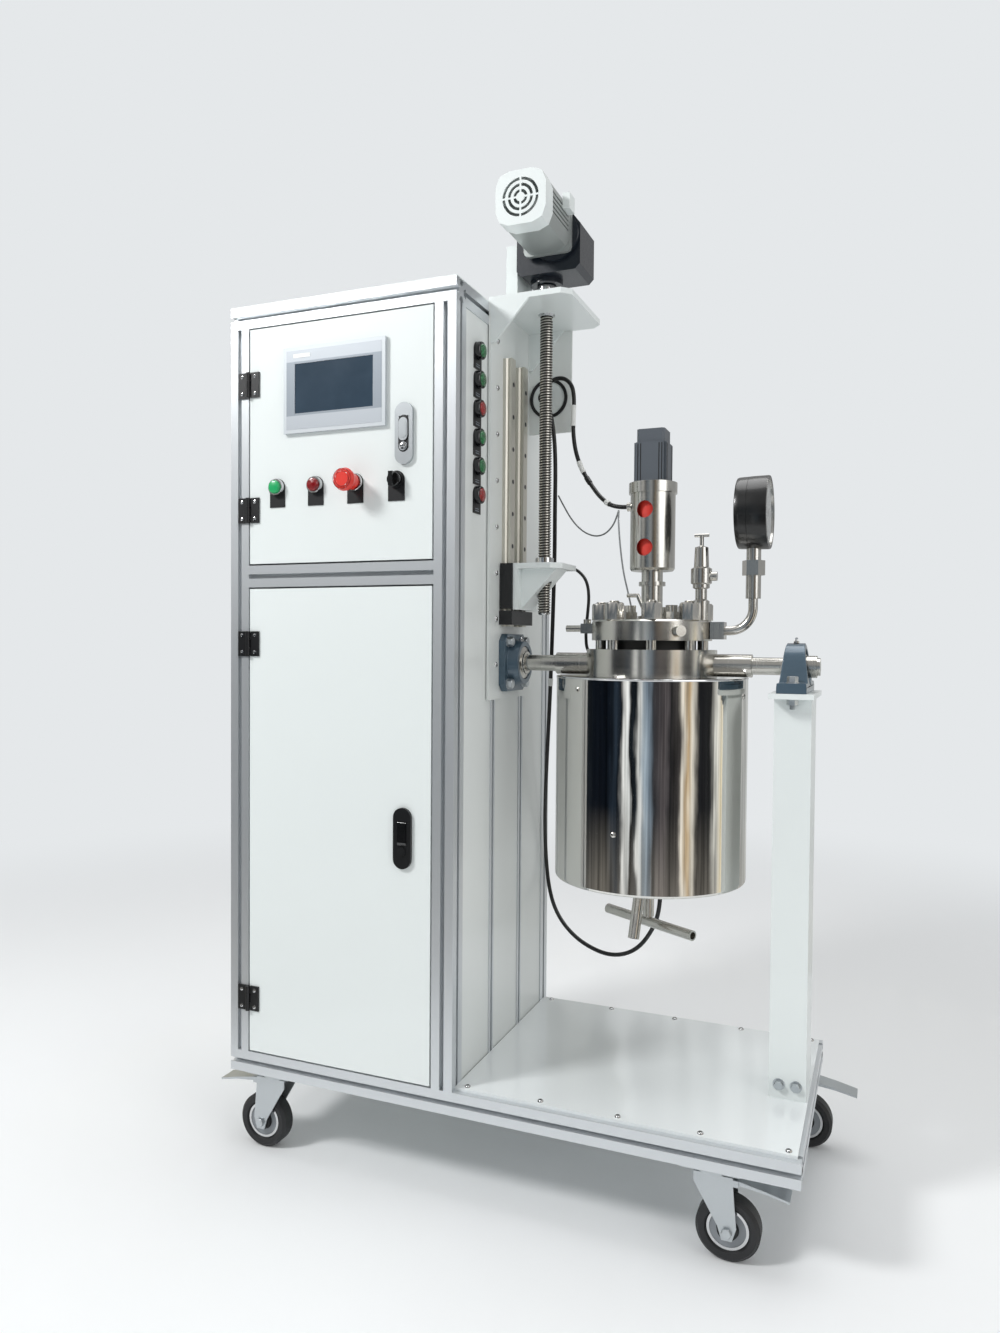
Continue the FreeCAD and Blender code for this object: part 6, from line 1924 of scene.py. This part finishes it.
@dataclass
class Fittings(Assembly):
    """The safety valve, the drain and the pressure gauge.

    Args:
        gauge: The back of the gauge's case.
        case: The case, as radii and distances from its back.
        face: How far the dial lies in front of the back.
        reach: The dial's radius.
        first: Where its scale starts, in degrees.
        sweep: How far it runs clockwise.
        marks: How many steps it has.
    """

    gauge: Point = (VESSEL_X + 0.178 - 0.0265, MIDDLE, GROUND + 1.0345)
    case: Sequence[tuple[float, float]] = (
        (0.0, -0.0006), (0.0585, -0.0006), (0.0605, 0.0002), (0.0614, 0.0022), (0.0618, 0.008),
        (0.0622, 0.0192), (0.0618, 0.0196), (0.0618, 0.0202), (0.0624, 0.0206), (0.0627, 0.028),
        (0.0630, 0.0519), (0.0623, 0.0533), (0.0566, 0.0533), (0.0564, 0.0459),
    )
    face: float = 0.0459
    reach: float = 0.0565
    first: float = 225.0
    sweep: float = 270.0
    marks: int = 50

    def build(self) -> None:
        """Dresses the fittings and adds the gauge's case, dial and pointer."""
        self.wear(SATIN_STEEL, "safety_valve", "drain_valve", "drain_handle")
        self.split(
            "pressure_gauge",
            ("gauge_glass", GLASS, lambda low, high: high.x - low.x < 0.01),
            ("gauge_body", SATIN_STEEL, rest),
        )
        self.spun("gauge_case", GAUGE_BLACK, VESSEL_BODY, self.case, self.gauge, "X", 72)
        dial = [(0.0, self.face), (self.reach, self.face)]
        self.spun("gauge_dial", DIAL, VESSEL_BODY, dial, self.gauge, "X", 56)
        marks = Form("gauge_marks", BLACK_PLASTIC, VESSEL_BODY)
        for index in range(self.marks + 1):
            turn = self.first - self.sweep * index / self.marks
            inner, half = (0.0425, 0.0006) if index % 5 == 0 else (0.046, 0.0003)
            marks.dash(self.gauge, self.face + 0.0003, turn, inner, 0.0505, half)
        marks.dash(self.gauge, self.face + 0.0013, self.first, -0.012, 0.0425, 0.0009)
        marks.turned([(0.0, 0.0479), (0.004, 0.0479), (0.004, 0.0462)], self.gauge, "X", 24)
        self.end(marks)


@dataclass
class Casters(Assembly):
    """The casters' plates, forks, wheels and pedals.

    Args:
        places: Where they stand.
        rim_half: Half the width of a wheel's hub.
        nut_half: Half the distance between an axle's nuts.
        step: How far a rim stands proud of the hub.
    """

    places: tuple[str, ...] = ("front_left", "front_right", "rear_left", "rear_right")
    rim_half: float = 0.0098
    nut_half: float = 0.0218
    step: float = 0.0004

    def build(self) -> None:
        """Dresses the casters and adds rims, rings and axle nuts."""
        self.wear(ZINC, "caster_plates")
        for name in self.places:
            self.wear(ZINC, f"caster_fork_{name}", f"caster_pedal_{name}")
            wheel = f"caster_wheel_{name}"
            self.wear(TYRE, wheel)
            x, middle, z = (sum(ends) / 2 for ends in zip(*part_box(wheel)))
            rim = Form(f"caster_rim_{name}", GREY_PLASTIC, wheel)
            ring = Form(f"caster_ring_{name}", CHROME, wheel)
            nuts = Form(f"axle_nuts_{name}", ZINC, f"caster_fork_{name}")
            for sign in (-1, 1):
                at = (x, middle + sign * self.rim_half, z)
                step = self.step * sign
                rim.turned([(0.0175, step), (0.0285, step)], at, "Y", 48)
                edge = [(0.0285, step), (0.0285, step * 4), (0.0327, step * 4), (0.0327, step)]
                ring.turned(edge, at, "Y", 48)
                nut = [(0.0085, 0.0), (0.0085, 0.004), (0.0075, 0.0052), (0.0, 0.0052)]
                turn = AXIS_TURN["Y"] if sign > 0 else TO_FRONT
                nuts.turned(nut, (x, middle + sign * self.nut_half, z), "Y", 6, turn)
            for form in (rim, ring, nuts):
                self.end(form)


def main() -> None:
    """Loads the frame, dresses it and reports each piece."""
    logging.basicConfig(level=logging.INFO)
    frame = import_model()
    bodies = frame["record"]["behaviour"]["bodies"]
    owner = {node: body for body, held in bodies.items() for node in held}
    Stage().build()
    cables = Cables()
    cables.build()
    nodes = {name: CadNode(name, thing, owner[name]) for name, thing in frame["nodes"].items()}
    built: list[Cables | Assembly] = [cables]
    for kind in (
        Frame, Doors, Controls, Lift, Gearmotor, Bearings, Vessel, Drive, Fittings, Casters
    ):
        part = kind(nodes)
        part.build()
        built.append(part)
    for part in built:
        for piece in part.made:
            LOG.info("%s: %s, %d faces", type(part).__name__, piece.name, len(piece.data.polygons))


if __name__ == "__main__":
    main()
